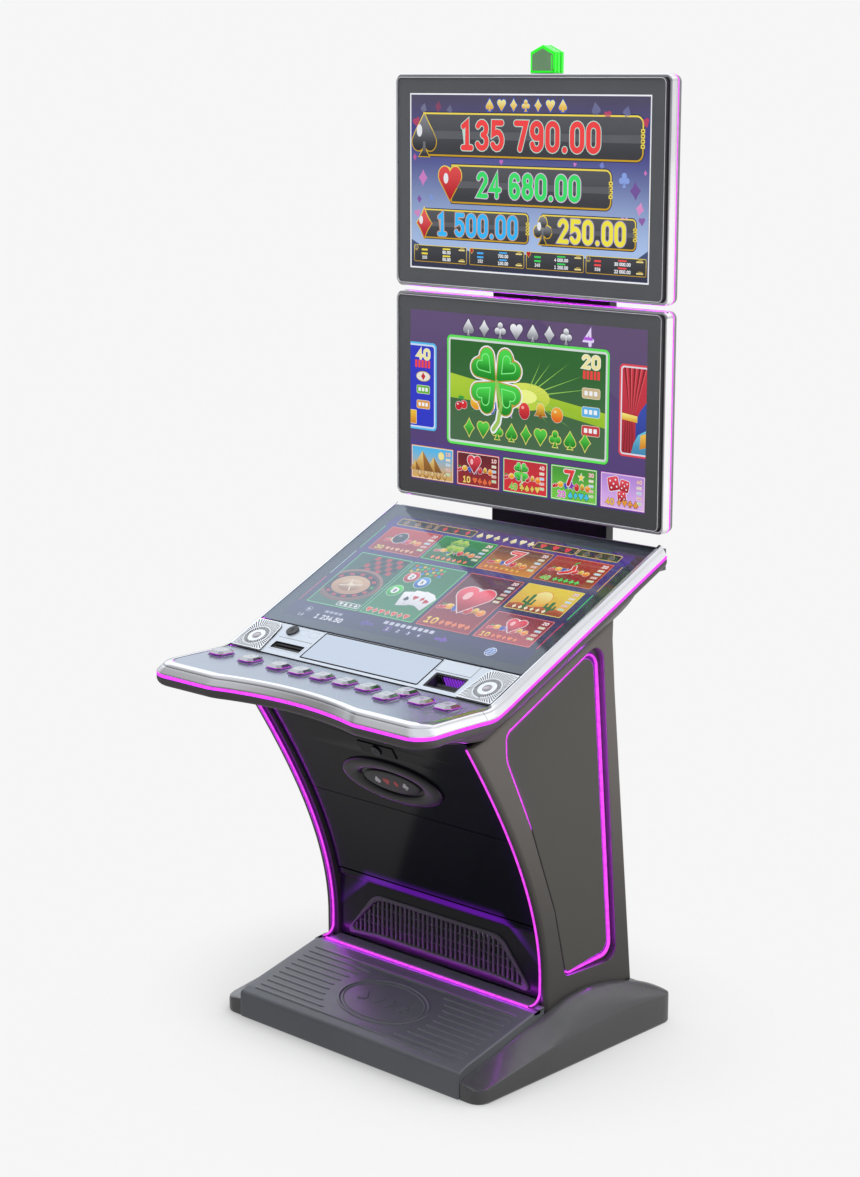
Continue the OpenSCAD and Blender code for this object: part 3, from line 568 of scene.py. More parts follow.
def paint(name, colour, rough=0.4, metal=0.0, cloud=0.12, grain=1400, bump=0.02, specular=0.5,
          coat=0.0, coat_rough=0.08, wear_and_highlight=0.35, gloss_var=0.10, flake=0.0, dust=0.0, fade=None,
          strip_reflection=0.0):
    """Painted or moulded surface: colour clouds, fine grain, uneven gloss, rubbed edges (strong
    ones are a painted edge highlight), dust, and a painted reflection of light strips.

    cloud is the spread of the colour clouds, gloss_var that of the roughness, grain the scale
    of the fine noise; fade holds the arguments of a gradient in metres."""
    s = new_material(name)
    p = s.coord()
    clouds = s.noise(5.0, 3.0, p)
    fine = s.noise(grain, 2.0, p)
    base = s.gradient(p, **fade) if fade else colour
    shade = s.scaled(base, s.span(clouds, 0.25, 0.75, 1 - cloud, 1 + cloud))
    if flake:
        shade = s.mix(s.span(fine, 0.52, 0.75, 0.0, flake), shade, tint(colour, 2.6))
    gloss = s.math("ADD", s.span(clouds, 0.3, 0.7, rough - gloss_var * 0.5,
                                 rough + gloss_var * 0.5),
                   s.span(fine, 0.3, 0.7, -gloss_var * 0.4, gloss_var * 0.4), True)
    # rubbed edges, lightened; strong settings are a painted edge highlight
    if wear_and_highlight:
        patches = s.span(s.noise(60, 4.0, p), 0.35, 0.65, 0.15 * wear_and_highlight, wear_and_highlight)
        edge_wear_and_highlight = s.times(s.edge(), patches, True)
        shade = s.mix(edge_wear_and_highlight, shade, tint([x + 0.06 for x in colour], 1.9))
        gloss = s.math("SUBTRACT", gloss, s.times(edge_wear_and_highlight, 0.12), True)
    if dust:
        upward = s.span(s.axis("Z", s.normal()), 0.6, 1.0, 0.0, dust)
        film = s.times(upward, s.span(s.noise(40, 5.0, p), 0.4, 0.7, 0.2, 1.0), True)
        shade = s.mix(film, shade, (0.5, 0.5, 0.5))
        gloss = s.math("ADD", gloss, s.times(film, 0.3), True)
    light = {}
    # painted reflection of the light strips, drawn as emission on the surface
    if strip_reflection:
        light = dict(Emission_Color=(0.34, 0.015, 1.0),
                     Emission_Strength=mirrored_strips(s, p, clouds, strip_reflection))
    return s.end(s.node("BsdfPrincipled", Base_Color=shade, Metallic=metal, Roughness=gloss,
                        Normal=s.bump(bump, 0.0004, fine), Specular_IOR_Level=specular,
                        Coat_Weight=coat, Coat_Roughness=coat_rough, **light))


def brushed(name, colour, rough, stretch, bump, spread=0.06, metal=1.0):
    """Metal with fine lines; stretch is the line noise's scale on each axis."""
    s = new_material(name)
    p = s.coord()
    line = s.noise(1.0, 3.0, s.coord(stretch))
    clouds = s.noise(4.0, 2.0, p)
    k = s.math("ADD", s.span(line, 0.3, 0.7, 1 - spread, 1 + spread),
               s.span(clouds, 0.3, 0.7, -0.04, 0.04))
    shade = s.scaled(colour, k)
    gloss = s.math("ADD", s.span(line, 0.3, 0.7, rough - 0.06, rough + 0.06),
                   s.span(clouds, 0.3, 0.7, -0.03, 0.05), True)
    edge_wear_and_highlight = s.times(s.edge(0.0008), 0.25, True)
    shade = s.mix(edge_wear_and_highlight, shade, tint(colour, 1.25))
    return s.end(s.node("BsdfPrincipled", Base_Color=shade, Metallic=metal, Roughness=gloss,
                        Normal=s.bump(bump, 0.0003, line), Coat_Weight=0.0))


def chrome(name, colour=(0.86, 0.87, 0.90), rough=0.06):
    s = new_material(name)
    p = s.coord()
    smears = s.noise(14.0, 4.0, p)
    fine = s.noise(260.0, 3.0, p)
    gloss = s.math("ADD", s.span(smears, 0.35, 0.75, rough * 0.6, rough * 1.7),
                   s.span(fine, 0.45, 0.8, 0.0, rough * 0.8), True)
    shade = s.scaled(colour, s.span(smears, 0.3, 0.7, 0.97, 1.02))
    return s.end(s.node("BsdfPrincipled", Base_Color=shade, Metallic=1.0, Roughness=gloss,
                        Normal=s.bump(0.012, 0.0003, fine)))


def led(name, seen=(1.0, 0.075, 1.0), cast=(0.62, 0.03, 1.0), power=6.0, pitch=120.0):
    """Lit diffuser with faint beads: colour seen by the camera, colour cast on other things."""
    s = new_material(name)
    beads = s.noise(pitch, 1.0, s.coord())
    k = s.span(beads, 0.35, 0.65, 0.86, 1.1)
    rim = s.span(s.node("LayerWeight", "Facing", Blend=0.35), 0.0, 1.0, 1.06, 0.8)
    visible = s.emission(seen, s.times(k, rim))
    far = s.emission(cast, s.times(k, power))
    light = s.mix_shader(s.node("LightPath", "Is Camera Ray"), far, visible)
    gloss = s.node("BsdfPrincipled", Base_Color=(0.7, 0.3, 0.7),
                   Roughness=s.span(beads, 0.3, 0.7, 0.25, 0.4))
    sheen = s.mix_shader(0.92, gloss, s.node("BsdfTransparent", Color=(0, 0, 0)))
    return s.end(s.node("AddShader", i0=light, i1=sheen))


def lit_ink(name, colour, spread, scale, gradient=None):
    """Self-lit picture colour with a faint unevenness."""
    s = new_material(name)
    p = s.coord()
    base = s.gradient(p, "Z", **gradient) if gradient else colour
    k = s.span(s.noise(scale, 3.0, p), 0.3, 0.7, 1 - spread, 1 + spread)
    return s.end(s.emission(base, s.times(k, 1.0)))


def clear(name, through=(0.93, 0.94, 0.96), rough=0.03, wall_reflection=0.0, gain=1.0, mirror=(1, 1, 1)):
    """Cover glass: through tints what is behind, mirror the reflection, gain strengthens it; a
    painted reflection of a pale wall can be laid over it as emission.
    """
    s = new_material(name)
    p = s.coord()
    smears = s.noise(7.0, 5.0, p)
    fresnel = s.times(s.node("Fresnel", IOR=1.52), s.front_facing())
    if gain != 1.0:
        fresnel = s.times(fresnel, gain, True)
    glossy = s.node("BsdfGlossy", Color=mirror,
                    Roughness=s.span(smears, 0.35, 0.7, rough, rough * 2.5))
    body = s.mix_shader(fresnel, s.node("BsdfTransparent", Color=through), glossy)
    if wall_reflection:
        # painted reflection of a pale wall, drawn as emission: strong at the left and low, fading
        # to the upper right
        x, z = s.axis("X", p), s.axis("Z", p)
        t = s.math("ADD", x, s.times(s.math("SUBTRACT", z, 0.766), 1.15))
        wall_reflection_ramp = s.ramp(s.span(t, -0.40, 0.60, 0.0, 1.0), (0.0, (0.80,) * 3), (0.25, (0.56,) * 3),
                      (0.50, (0.26,) * 3), (0.75, (0.07,) * 3), (1.0, (0.0,) * 3))
        uneven = s.times(s.span(smears, 0.3, 0.7, wall_reflection * 0.95, wall_reflection), s.front_facing())
        body = s.mix_shader(s.times(wall_reflection_ramp, uneven), body, s.emission((0.48, 0.57, 0.72), 1.0))
    return s.end(body)


def acrylic(name, colour, power):
    """Glowing coloured plastic."""
    s = new_material(name)
    p = s.coord()
    smears = s.noise(40.0, 3.0, p)
    fine = s.noise(500.0, 2.0, p)
    facing = s.node("LayerWeight", "Facing", Blend=0.45)
    strength = s.times(s.span(smears, 0.3, 0.7, 0.9, 1.1),
                       s.span(facing, 0.0, 1.0, power * 0.75, power * 1.25))
    gloss = s.node("BsdfPrincipled", Base_Color=tint(colour, 0.5),
                   Roughness=s.span(smears, 0.3, 0.7, 0.084, 0.18),
                   Normal=s.bump(0.05, 0.0003, fine), Coat_Weight=0.8)
    return s.end(s.node("AddShader", i0=s.emission(colour, strength), i1=gloss))


# ------------------------------------------------------------------ materials

FINE_SILVER = dict(grain=2600, bump=0.01, wear_and_highlight=0.2, gloss_var=0.03)
MAT = {
    # side shells darker towards the floor: painted shade
    "shell": paint("shell_grey", (0.125, 0.112, 0.104), metal=0.45, cloud=0.07, grain=2600,
                   bump=0.05, flake=0.35, wear_and_highlight=0.30,
                   fade=dict(axis="Z", start=0.1, start_colour=(0.060, 0.057, 0.055),
                             end=0.75, end_colour=(0.150, 0.137, 0.128))),
    "panel": paint("panel_grey", (0.075, 0.073, 0.066), rough=0.42, metal=0.35, cloud=0.08,
                   grain=2600, bump=0.05, flake=0.25, wear_and_highlight=0.2),
    # strong lightened edges here are a painted edge highlight along the base
    "base": paint("base_slate", (0.062, 0.063, 0.067), rough=0.27, metal=0.15, cloud=0.08,
                  grain=2200, bump=0.04, wear_and_highlight=1.0, dust=0.03, gloss_var=0.05, coat=0.45,
                  coat_rough=0.14),
    "tread": paint("tread_slate", (0.100, 0.107, 0.120), rough=0.36, metal=0.20, cloud=0.10,
                   grain=2200, bump=0.05, wear_and_highlight=0.6, dust=0.03, gloss_var=0.05, coat=0.22,
                   coat_rough=0.24),
    # painted reflection of the light strips in the door's gloss
    "door": paint("door_gloss", (0.005, 0.006, 0.009), rough=0.14, cloud=0.15, grain=1600,
                  bump=0.002, wear_and_highlight=0.10, gloss_var=0.03, specular=0.20, strip_reflection=0.30),
    "darksteel": paint("dark_lock", (0.050, 0.050, 0.056), rough=0.34, metal=0.6, cloud=0.10,
                       grain=900, wear_and_highlight=0.3),
    "emblem": paint("emblem_gloss", (0.014, 0.014, 0.016), rough=0.38, grain=1600, bump=0.006,
                    coat=0.35, coat_rough=0.20, wear_and_highlight=0.1),
    "suitred": paint("suit_red", (0.55, 0.02, 0.02), rough=0.3, cloud=0.1, grain=1200, bump=0.01,
                     wear_and_highlight=0.0, coat=0.6),
    "suitwhite": paint("suit_white", (0.62, 0.62, 0.64), rough=0.3, cloud=0.06, grain=1200,
                       bump=0.01, wear_and_highlight=0.0, coat=0.6),
    # painted reflection of the light strips in the kick panel's gloss
    "kick": paint("kick_black", (0.007, 0.007, 0.010), rough=0.24, grain=1800, bump=0.004,
                  wear_and_highlight=0.12, specular=0.30, strip_reflection=0.30),
    "grille": paint("grille_grey", (0.070, 0.071, 0.076), rough=0.42, metal=0.2, cloud=0.10,
                    grain=1800, bump=0.08, wear_and_highlight=0.5),
    "sheet": paint("powder_coat", (0.050, 0.050, 0.053), rough=0.52, metal=0.1, cloud=0.08,
                   grain=1100, bump=0.30, wear_and_highlight=0.4),
    "plastic": paint("moulded_black", (0.020, 0.020, 0.022), rough=0.45, bump=0.15, wear_and_highlight=0.3),
    "steel": brushed("turned_steel", (0.62, 0.62, 0.64), rough=0.26, stretch=(90, 90, 90),
                     bump=0.05),
    "zinc": paint("zinc_sheet", (0.42, 0.43, 0.45), rough=0.38, metal=0.9, cloud=0.18, grain=160,
                  bump=0.04, wear_and_highlight=0.3),
    "tub": paint("tub_grey", (0.085, 0.078, 0.080), rough=0.38, metal=0.40, cloud=0.08,
                 grain=2600, bump=0.05, flake=0.3, wear_and_highlight=0.3),
    "lip": brushed("lip_silver", (0.50, 0.47, 0.50), rough=0.30, stretch=(40, 40, 40), bump=0.03,
                   metal=0.85),
    "chrome": chrome("chrome_polish"),
    "rimchrome": chrome("chrome_rim_satin", (0.84, 0.85, 0.88), rough=0.075),
    "trim": chrome("trim_chrome", (0.90, 0.90, 0.93), rough=0.09),
    # darkened chrome for the keys: painted shade, so the facets read as dark reflections
    "keychrome": chrome("key_chrome_shaded", (0.46, 0.47, 0.50), rough=0.07),
    "collar": chrome("collar_chrome", (0.80, 0.82, 0.86), rough=0.09),
    "bar": paint("bar_grey", (0.13, 0.13, 0.14), rough=0.36, metal=0.5, cloud=0.08, grain=1800,
                 bump=0.05, wear_and_highlight=0.4),
    "deck": paint("deck_silver", (0.43, 0.485, 0.565), rough=0.27, metal=0.85, cloud=0.03,
                  **FINE_SILVER),
    "strip": paint("strip_silver", (0.55, 0.60, 0.67), rough=0.36, metal=0.55, cloud=0.02,
                   **FINE_SILVER),
    "centre": paint("centre_silver", (0.48, 0.54, 0.63), rough=0.33, metal=0.75, cloud=0.02,
                    **FINE_SILVER),
    "grid": brushed("speaker_silver", (0.74, 0.77, 0.81), rough=0.34, stretch=(60, 60, 60),
                    bump=0.02, spread=0.03, metal=0.6),
    "bead": paint("bead_silver", (0.74, 0.75, 0.78), rough=0.20, metal=0.30, cloud=0.05,
                  grain=1800, bump=0.01, wear_and_highlight=0.2, gloss_var=0.04, coat=0.6),
    "window": paint("button_window", (0.40, 0.42, 0.45), rough=0.16, cloud=0.08, grain=900,
                    bump=0.01, coat=0.6, coat_rough=0.05, wear_and_highlight=0.0),
    "label": paint("button_label", (0.27, 0.28, 0.32), rough=0.16, cloud=0.14, grain=700,
                   bump=0.01, coat=1.0, coat_rough=0.03, wear_and_highlight=0.0),
    "led": led("led_magenta", power=15.0),
    # dim purple emission on LED channels and button gaps: painted glow of the LEDs' spill light,
    # also cast onto nearby parts
    "flank": led("led_spill_glow", seen=(0.045, 0.002, 0.075), cast=(0.5, 0.02, 0.9), power=1.2),
    "belt": led("led_belt", seen=(0.85, 0.05, 0.85), power=0.8),
    "violet": led("tray_violet", seen=(0.20, 0.03, 0.55), cast=(0.35, 0.04, 1.0), power=2.2,
                  pitch=60),
    # printed border grows lighter towards the top: painted light
    "bezel": paint("bezel_glass", (0.088, 0.088, 0.089), rough=0.12, cloud=0.05, grain=900,
                   bump=0.004, coat=1.0, coat_rough=0.02, wear_and_highlight=0.0,
                   fade=dict(axis="Z", start=0.86, start_colour=(0.050, 0.050, 0.051),
                             end=1.50, end_colour=(0.122, 0.121, 0.121))),
    "slantbezel": paint("slant_bezel_glass", (0.018, 0.019, 0.025), rough=0.50, cloud=0.05,
                        grain=900, bump=0.0005, wear_and_highlight=0.0, specular=0.2),
    "glass": clear("cover_glass"),
    # the sloped glass carries a painted reflection of a pale wall
    "slantglass": clear("slant_glass", (0.98, 0.98, 0.99), rough=0.04, wall_reflection=0.46, gain=1.45,
                        mirror=(0.80, 0.90, 1.0)),
    "backshell": paint("monitor_grey", (0.105, 0.100, 0.105), rough=0.38, metal=0.3, cloud=0.08,
                       grain=2000, bump=0.08, wear_and_highlight=0.3,
                       fade=dict(axis="Y", start=0.2130, start_colour=(0.030, 0.028, 0.034),
                                 end=0.2140, end_colour=(0.210, 0.212, 0.225))),
    "mast": paint("mast_black", (0.014, 0.014, 0.016), rough=0.34, metal=0.1, cloud=0.10,
                  grain=1500, bump=0.08),
    "green_face": acrylic("beacon_face", (0.13, 0.28, 0.12), power=0.55),
    "green_edge": acrylic("beacon_edge", (0.02, 0.85, 0.02), power=0.85),
    "green_dark": acrylic("beacon_deep", (0.01, 0.16, 0.01), power=0.5),
}

# ------------------------------------------------------------------ pieces finished from the CAD

CAD_PIECES = (   # node, body it rides on, material, bevel
    ("rear_wall", BODY, "sheet", 0.8), ("fan_frame", BODY, "plastic", 0.6),
    ("hinge_pins", BODY, "steel", 0.4), ("inner_shelf", BODY, "zinc", 0.5),
    ("logic_box", BODY, "zinc", 0.8), ("power_supply", BODY, "zinc", 0.8),
    ("bill_validator", BODY, "plastic", 1.2), ("cash_box", BODY, "plastic", 1.2),
    ("rear_bar", BODY, "bar", 0.6), ("speakers", BODY, "plastic", 0.5),
    ("monitor_brackets", BODY, "sheet", 0.8), ("mast", BODY, "mast", 1.6),
    ("beacon_base", BODY, "plastic", 0.8), ("monitor_shells", BODY, "backshell", 1.2),
    ("rear_door", "rear_door", "sheet", 0.8), ("rear_lock", "rear_lock", "steel", 0.4),
    ("front_lock", "front_lock", "darksteel", 0.4), ("fan_rotor", "fan_rotor", "plastic", 0.4),
    ("lid_frame", "lid", "bar", 0.6), ("key_switch", "key_switch", "darksteel", 0.5))
for node, body, mat, bevel in CAD_PIECES:
    from_cad(node, body, mat, bevel)
from_cad("base_plinth", BODY, "base", 3.5, segments=4, smooth=28, bevel_angle=40)

# ------------------------------------------------------------------ tread

TREAD_FRONT_Y, TREAD_FRONT_Z = -262, 58.5
TREAD_SLOPE = (105 - TREAD_FRONT_Z) / (262 - 72)
TREAD_TILT = degrees(atan(TREAD_SLOPE))
RIB_X = 266                        # ribs end here
RIB_FRONT_Y, RIB_REAR_Y = -261, -101
RIB_SPAN, RIB_ROWS = 162, 9        # short ribs split this span behind the front rib
RIB_HEIGHT, RIB_HALF_WIDTH, RIB_TAPER = 2.3, 3.6, 9.0
OVAL_X, OVAL_Y = 4, -181           # centre of the oval badge


def tread_z(y):
    return TREAD_FRONT_Z + (y - TREAD_FRONT_Y) * TREAD_SLOPE


def rib(solid, x0, x1, y, steps=10):
    """Raised rib with tapering round ends, lying on the tread."""
    taper = [(x0 + RIB_TAPER * t, sin(t * pi / 2) ** 0.7 if t else 0.02)
             for t in (0, 0.03, 0.12, 0.28, 0.5, 0.75, 1.0)]
    middle = [(lerp(x0 + RIB_TAPER, x1 - RIB_TAPER, i / 6), 1.0) for i in range(1, 6)]
    stations = taper + middle + [(x1 - (x - x0), size) for x, size in taper[::-1]]
    angles = [pi * j / steps for j in range(steps + 1)]
    solid.loft([[(x, RIB_HALF_WIDTH * size * cos(a),
                  -0.6 + (RIB_HEIGHT + 0.6) * (size ** 0.8) * sin(a)) for a in angles]
                for x, size in stations],
               frame=frame_at((0, y, tread_z(y) - 0.35), TREAD_TILT))


def oval_bead(solid, a, b, r, rz, frame, z=0.2, count=96, sides=10):
    """Closed bead along an ellipse, r wide and rz high from its centre line."""
    rings = []
    for i in range(count):
        t = 2 * pi * i / count
        nx, ny = cos(t) / a, sin(t) / b
        k = hypot(nx, ny)
        nx, ny = nx / k, ny / k
        angles = [2 * pi * j / sides for j in range(sides)]
        rings.append([(a * cos(t) + r * cos(u) * nx, b * sin(t) + r * cos(u) * ny,
                       z + rz * sin(u)) for u in angles])
    solid.loft(rings, frame=frame, caps=False, closed=True)


tread = Solid()
profile = ccw(rounded(   # (y, z), front foot first
    [(-281, 0), (-281, 50), (-262, 58.5), (-74, 104.5), (-74, 101.5), (-62, 101.5),
     (-62, 106.2), (-46.5, 108), (-46.5, 0)],
    [1.5, 10, 26, 1.0, 0.6, 0.6, 1.0, 1.5, 0], 6))
ends = [(287.8, 3.2), (287.1, 1.6), (285.2, 0.4), (282.5, 0)]   # half width, inset of the profile
stations = ([(-x, inset) for x, inset in ends]
            + [(-282.5 + 565 * i / 40, 0) for i in range(1, 40)] + ends[::-1])
tread.loft([[(x, y, z) for y, z in offset(profile, inset)] for x, inset in stations])
rear_lip = ccw(rounded([(-60, 100.5), (-60, 106.8), (-31.2, 109.3), (-31.2, 90), (-36, 90),
                        (-36, 100.5)], [0, 1.5, 1.5, 0, 0, 0], 4))
tread.across(rear_lip, (-261.4, 0, 261.4))
rib(tread, -RIB_X, RIB_X, RIB_REAR_Y)
rib(tread, -RIB_X, RIB_X, RIB_FRONT_Y)
for i in range(RIB_ROWS):
    y = RIB_REAR_Y - RIB_SPAN * (i + 1) / (RIB_ROWS + 1)
    inner = 34 + 98 * sqrt(max(0.16, 1 - ((y - OVAL_Y) / 84) ** 2))
    rib(tread, inner, RIB_X, y)
    rib(tread, -RIB_X, -inner + 2 * OVAL_X, y)
OVAL = frame_at((OVAL_X, OVAL_Y, tread_z(OVAL_Y)), TREAD_TILT)
oval_bead(tread, 104, 61, 3.4, 2.2, OVAL)
oval_bead(tread, 95.5, 52.5, 1.6, 1.4, OVAL)
for i, kind in enumerate(SUITS):
    for loop in suit(kind):
        tread.plate([place(loop, -51 + 34 * i, 0, 14.5)], -1.2, 1.7, 0.9, frame=OVAL)
tread.replace("tread_cover", MAT["tread"], "tread_slate", smooth=40)

# ------------------------------------------------------------------ cabinet sides
# Outlines here are (y, z); in the side frames the height is the distance from the middle.

FRONT = [(-41, 150), (-41, 300), (-140, 480), (-252, 648)]   # Bezier of the front edge
SHELL_X = 288         # outer face of the flanks
RECESS_X = 273.5      # floor of the side recess
LIP_X = 276.0         # lip next to the front light strip
INNER_X = 262.4       # inner face of the shells
SHELL_ROLL = 9        # radius of the outer edge


def front_run(steps, t0, t1, dy=0.0):
    """Points on the front curve between parameters t0 and t1, moved by dy."""
    points = [bezier(FRONT, t0 + (t1 - t0) * i / steps) for i in range(steps + 1)]
    return [(y + dy, z) for y, z in points]


def tub_z(y):
    return 650 if y < -214 else 650 + (y + 214) * 0.4515


def recess_outline(gap, rear_gap, steps=10):
    """Outline of the side recess, moved inward by gap and, at the rear, by rear_gap."""
    e, f = gap, rear_gap
    return rounded([(11 + e, 150 + e), (-22 + e, 285), (-91 + e, 462), (-158 + e, 600),
                    (-160 + e, 650 - e), (105 - f, 776 - e - f * 0.477), (160 - f, 146 + f)],
                   [14, 120, 200, 60, 20, 26, 24], steps)


side_outline = ccw([(-45, 88)] + front_run(44, 0, 0.985, -4)
                   + [(-214, 649.6), (140, tub_z(140) - 0.4), (139, 770), (147, 675),
                      (208, 100), (209, 88)])
recess = ccw(recess_outline(0, 0))
inner_edge = offset(side_outline, 8.0)
hollow = ccw([(-14, 116)] + front_run(14, 0.06, 0.88, 28)
             + [(-146, 626), (88, 731), (112, 731), (172, 116)])
for side in ("right", "left"):
    shell = Solid(side_frame(side == "right"))
    # outside skin: lip, rolled edge, flat flank with the recess in it
    shell.stack(side_outline, [(1.2, LIP_X), (0.3, 276.4), (0, 277.5)]
                + quarter(SHELL_ROLL, SHELL_X - SHELL_ROLL, SHELL_ROLL, 6), caps=False)
    shell.sheet([offset(side_outline, SHELL_ROLL), offset(recess, -1.6)], SHELL_X)
    shell.stack(recess, [(-1.6, SHELL_X), (-1.0, 287.84), (-0.45, 287.4), (0, 286.4),
                         (0, RECESS_X)], caps=False)
    shell.sheet([recess], RECESS_X)
    # inside skin with a shallow hollow
    shell.sheet([offset(side_outline, 1.2), inner_edge], LIP_X)
    shell.wall(inner_edge, (LIP_X, INNER_X))
    shell.sheet([inner_edge, hollow], INNER_X)
    shell.wall(hollow, (INNER_X, 269.5))
    shell.sheet([hollow], 269.5)
    shell.replace("side_shell_" + side, MAT["shell"], "shell_grey", smooth=32)


def recess_run(outline, keep):
    """Kept part of an outline as 110 even points, starting after its largest gap."""
    run = [p for p in ccw(outline) if keep(*p)]
    first = max(range(len(run)), key=lambda i: (Vector(run[i]) - Vector(run[i - 1])).length)
    run = run[first:] + run[:first]
    return resample(run[::-1], 110)


def side_bead(solid, path, width, section, frame, top=lambda i: 1000):
    """Bead along a path; section is (share of the half width, x), capped at top(i)."""
    rings = []
    for i, p in enumerate(path):
        n, w = normal_at(path, i), width(i, p)
        rings.append([(p[0] + n.x * u * w, p[1] + n.y * u * w, min(x, top(i)))
                      for u, x in section])
    solid.loft(rings, frame=frame)


def rear_bead_width(i, p):
    if p[1] > 260:
        return min(3.3, 1.2 + 2.1 * i / 14)
    return 1.0 + 2.3 * max(0.0, min(1.0, (p[0] - 16) / 110))


panel_outline = ccw(recess_outline(4, 24))
channel_outer, channel_inner = ccw(recess_outline(0.9, 11)), ccw(recess_outline(4.2, 24.2))
rear_run = recess_run(recess_outline(2.7, 15.6, 12), lambda y, z: y > 60 or (z < 162 and y > 14))
top_run = recess_run(recess_outline(1.75, 11.0, 12), lambda y, z: y < 62 and z > 372)
panels, side_leds = Solid(), Solid()
for right in (True, False):
    side = side_frame(right)
    panels.stack(panel_outline, [(0, 273.6)] + quarter(2.6, 282.6, 2.4, 5), frame=side)
    # dim channel round the panel, glowing purple: painted spill light of the LEDs
    for outline, sign in ((channel_outer, 1), (channel_inner, -1)):
        side_leds.stack(outline, [(0, 273.6), (0, 280.2), (sign * 0.8, 281.0)], 1, side,
                        caps=False)
    side_leds.sheet([offset(channel_outer, 0.8), offset(channel_inner, -0.8)], 281.0, 1, side)
    side_leds.sheet([channel_outer, channel_inner], 273.6, 1, side)
    # broad bead down the rear edge, narrowing along the bottom to the front corner
    side_bead(side_leds, rear_run, rear_bead_width,
              ((-1, 281.2), (1, 281.2), (1, 284.0), (0.7, 284.8), (-0.7, 284.8), (-1, 284.0)),
              side)
    # fine bead up the front edge and along the top
    side_bead(side_leds, top_run,
              lambda i, p: 1.2 * min(1.0, 0.15 + i / 16, 0.2 + (109 - i) / 8),
              ((-1, 281.2), (1, 281.2), (1, 286.9), (0.6, 287.4), (-0.6, 287.4), (-1, 286.9)),
              side, top=lambda i: 285.0 + 2.4 * min(1.0, i / 10))
panels.replace("side_panels", MAT["panel"], "panel_grey", smooth=32)
side_leds.replace("side_leds", [MAT["led"], MAT["flank"]], "led_magenta")

# ------------------------------------------------------------------ cabinet front

FRONT_LED_X = 270.4
CHANNEL = ((-3.9, -2.9), (3.9, -2.9), (3.9, 0.2), (3.4, 0.7), (-3.4, 0.7), (-3.9, 0.2))
DIFFUSER = ((-1.5, 0.9), (2.7, 0.9), (2.7, 2.3), (2.0, 3.0), (0.8, 3.3), (-0.3, 3.2),
            (-1.2, 2.6))           # both sections are (outward, towards the player)

front_led = Solid()
led_path = front_run(60, 0.975, 0) + arc(-63, 131, 22, 22, 0, -90, 8)[1:]
led_path += [(-66, 109), (-69.6, 109)]
for sx in (1, -1):
    # the channel section glows dim purple: painted spill light of the diffuser
    for mat, section in ((1, CHANNEL), (0, DIFFUSER)):
        rings = []
        for i, p in enumerate(led_path):
            n = normal_at(led_path, i)
            rings.append([(sx * (FRONT_LED_X + u), p[0] - n.x * w, p[1] - n.y * w)
                          for u, w in section])
        front_led.loft(rings, mat)
bottom_section = ((-2.2, -2.2), (2.2, -2.2), (2.2, 1.7), (1.7, 2.6), (0.7, 3.0), (-0.7, 3.0),
                  (-1.7, 2.6), (-2.2, 1.7))
front_led.across([(-67.4 + a * 0.72, 106.6 + b * 0.8) for a, b in bottom_section],
                 [-274.2 + 548.4 * i / 30 for i in range(31)])
front_led.replace("front_led", [MAT["led"], MAT["flank"]], "led_magenta")

DOOR_X, DOOR_EDGE = 260.5, 1.4            # half width, softening of the edges
DOOR_FRONT, DOOR_REAR = 12, 18            # distances behind the front curve
DOOR_SPAN = (0.222, 0.5775)               # part of the front curve


def door_section(inset):
    front = front_run(40, *DOOR_SPAN, DOOR_FRONT + inset)
    rear = front_run(40, *DOOR_SPAN, DOOR_REAR - inset * 0.3)
    front[0] = (front[0][0], front[0][1] + inset)
    front[-1] = (front[-1][0], front[-1][1] - inset)
    return ccw(front + rear[::-1])


door = Solid()
ends = [(-DOOR_X, DOOR_EDGE), (-DOOR_X + DOOR_EDGE * 0.3, DOOR_EDGE * 0.3),
        (-DOOR_X + DOOR_EDGE, 0)]
middle = [(-DOOR_X + DOOR_EDGE + (2 * DOOR_X - 2 * DOOR_EDGE) * i / 12, 0) for i in range(1, 12)]
stations = ends + middle + [(-x, inset) for x, inset in ends[::-1]]
door.loft([[(x, y, z) for y, z in door_section(inset)] for x, inset in stations])
# roll along the lower edge and the strip above it
door.across(ellipse(5.4, 5.4, -33, 240, 24), (-260.4, -259.6, 259.6, 260.4))
door.across([(-38.6, 241), (-30, 241), (-30, 250), (-35.5, 250), (-40.9, 250)], (-260, 260))
door.replace("front_door", MAT["door"], "door_gloss", "front_door", smooth=34)
from_cad("upper_front_panel", BODY, "door", 1.0, segments=3, smooth=40, bevel_angle=45)

# Oval emblem. Rows are half width, half height, distance out.
EMBLEM_STEPS = 120
SURROUND = ((125.8, 51.8, 8.8), (126, 52, 11.0), (124.4, 50.6, 13.6), (121, 47.6, 15.4),
            (116, 43.6, 16.0), (104, 37.5, 15.7), (92, 33.6, 14.6), (84, 31.9, 12.8),
            (80.6, 31.2, 10.2), (80, 31, 8.4), (80, 31, 4), (108, 38, -8), (117.8, 43.8, -8),
            (117.8, 43.8, 8.6))
RAISED_OVAL = ((71.8, 24.8, 7.6), (72, 25, 10.8), (71, 24.2, 12.0), (69, 22.6, 12.5),
               (50, 15, 12.75), (20, 6, 12.8))
OVAL_FLOOR = ((79.9, 30.9, 8.0), (71, 24, 7.4))

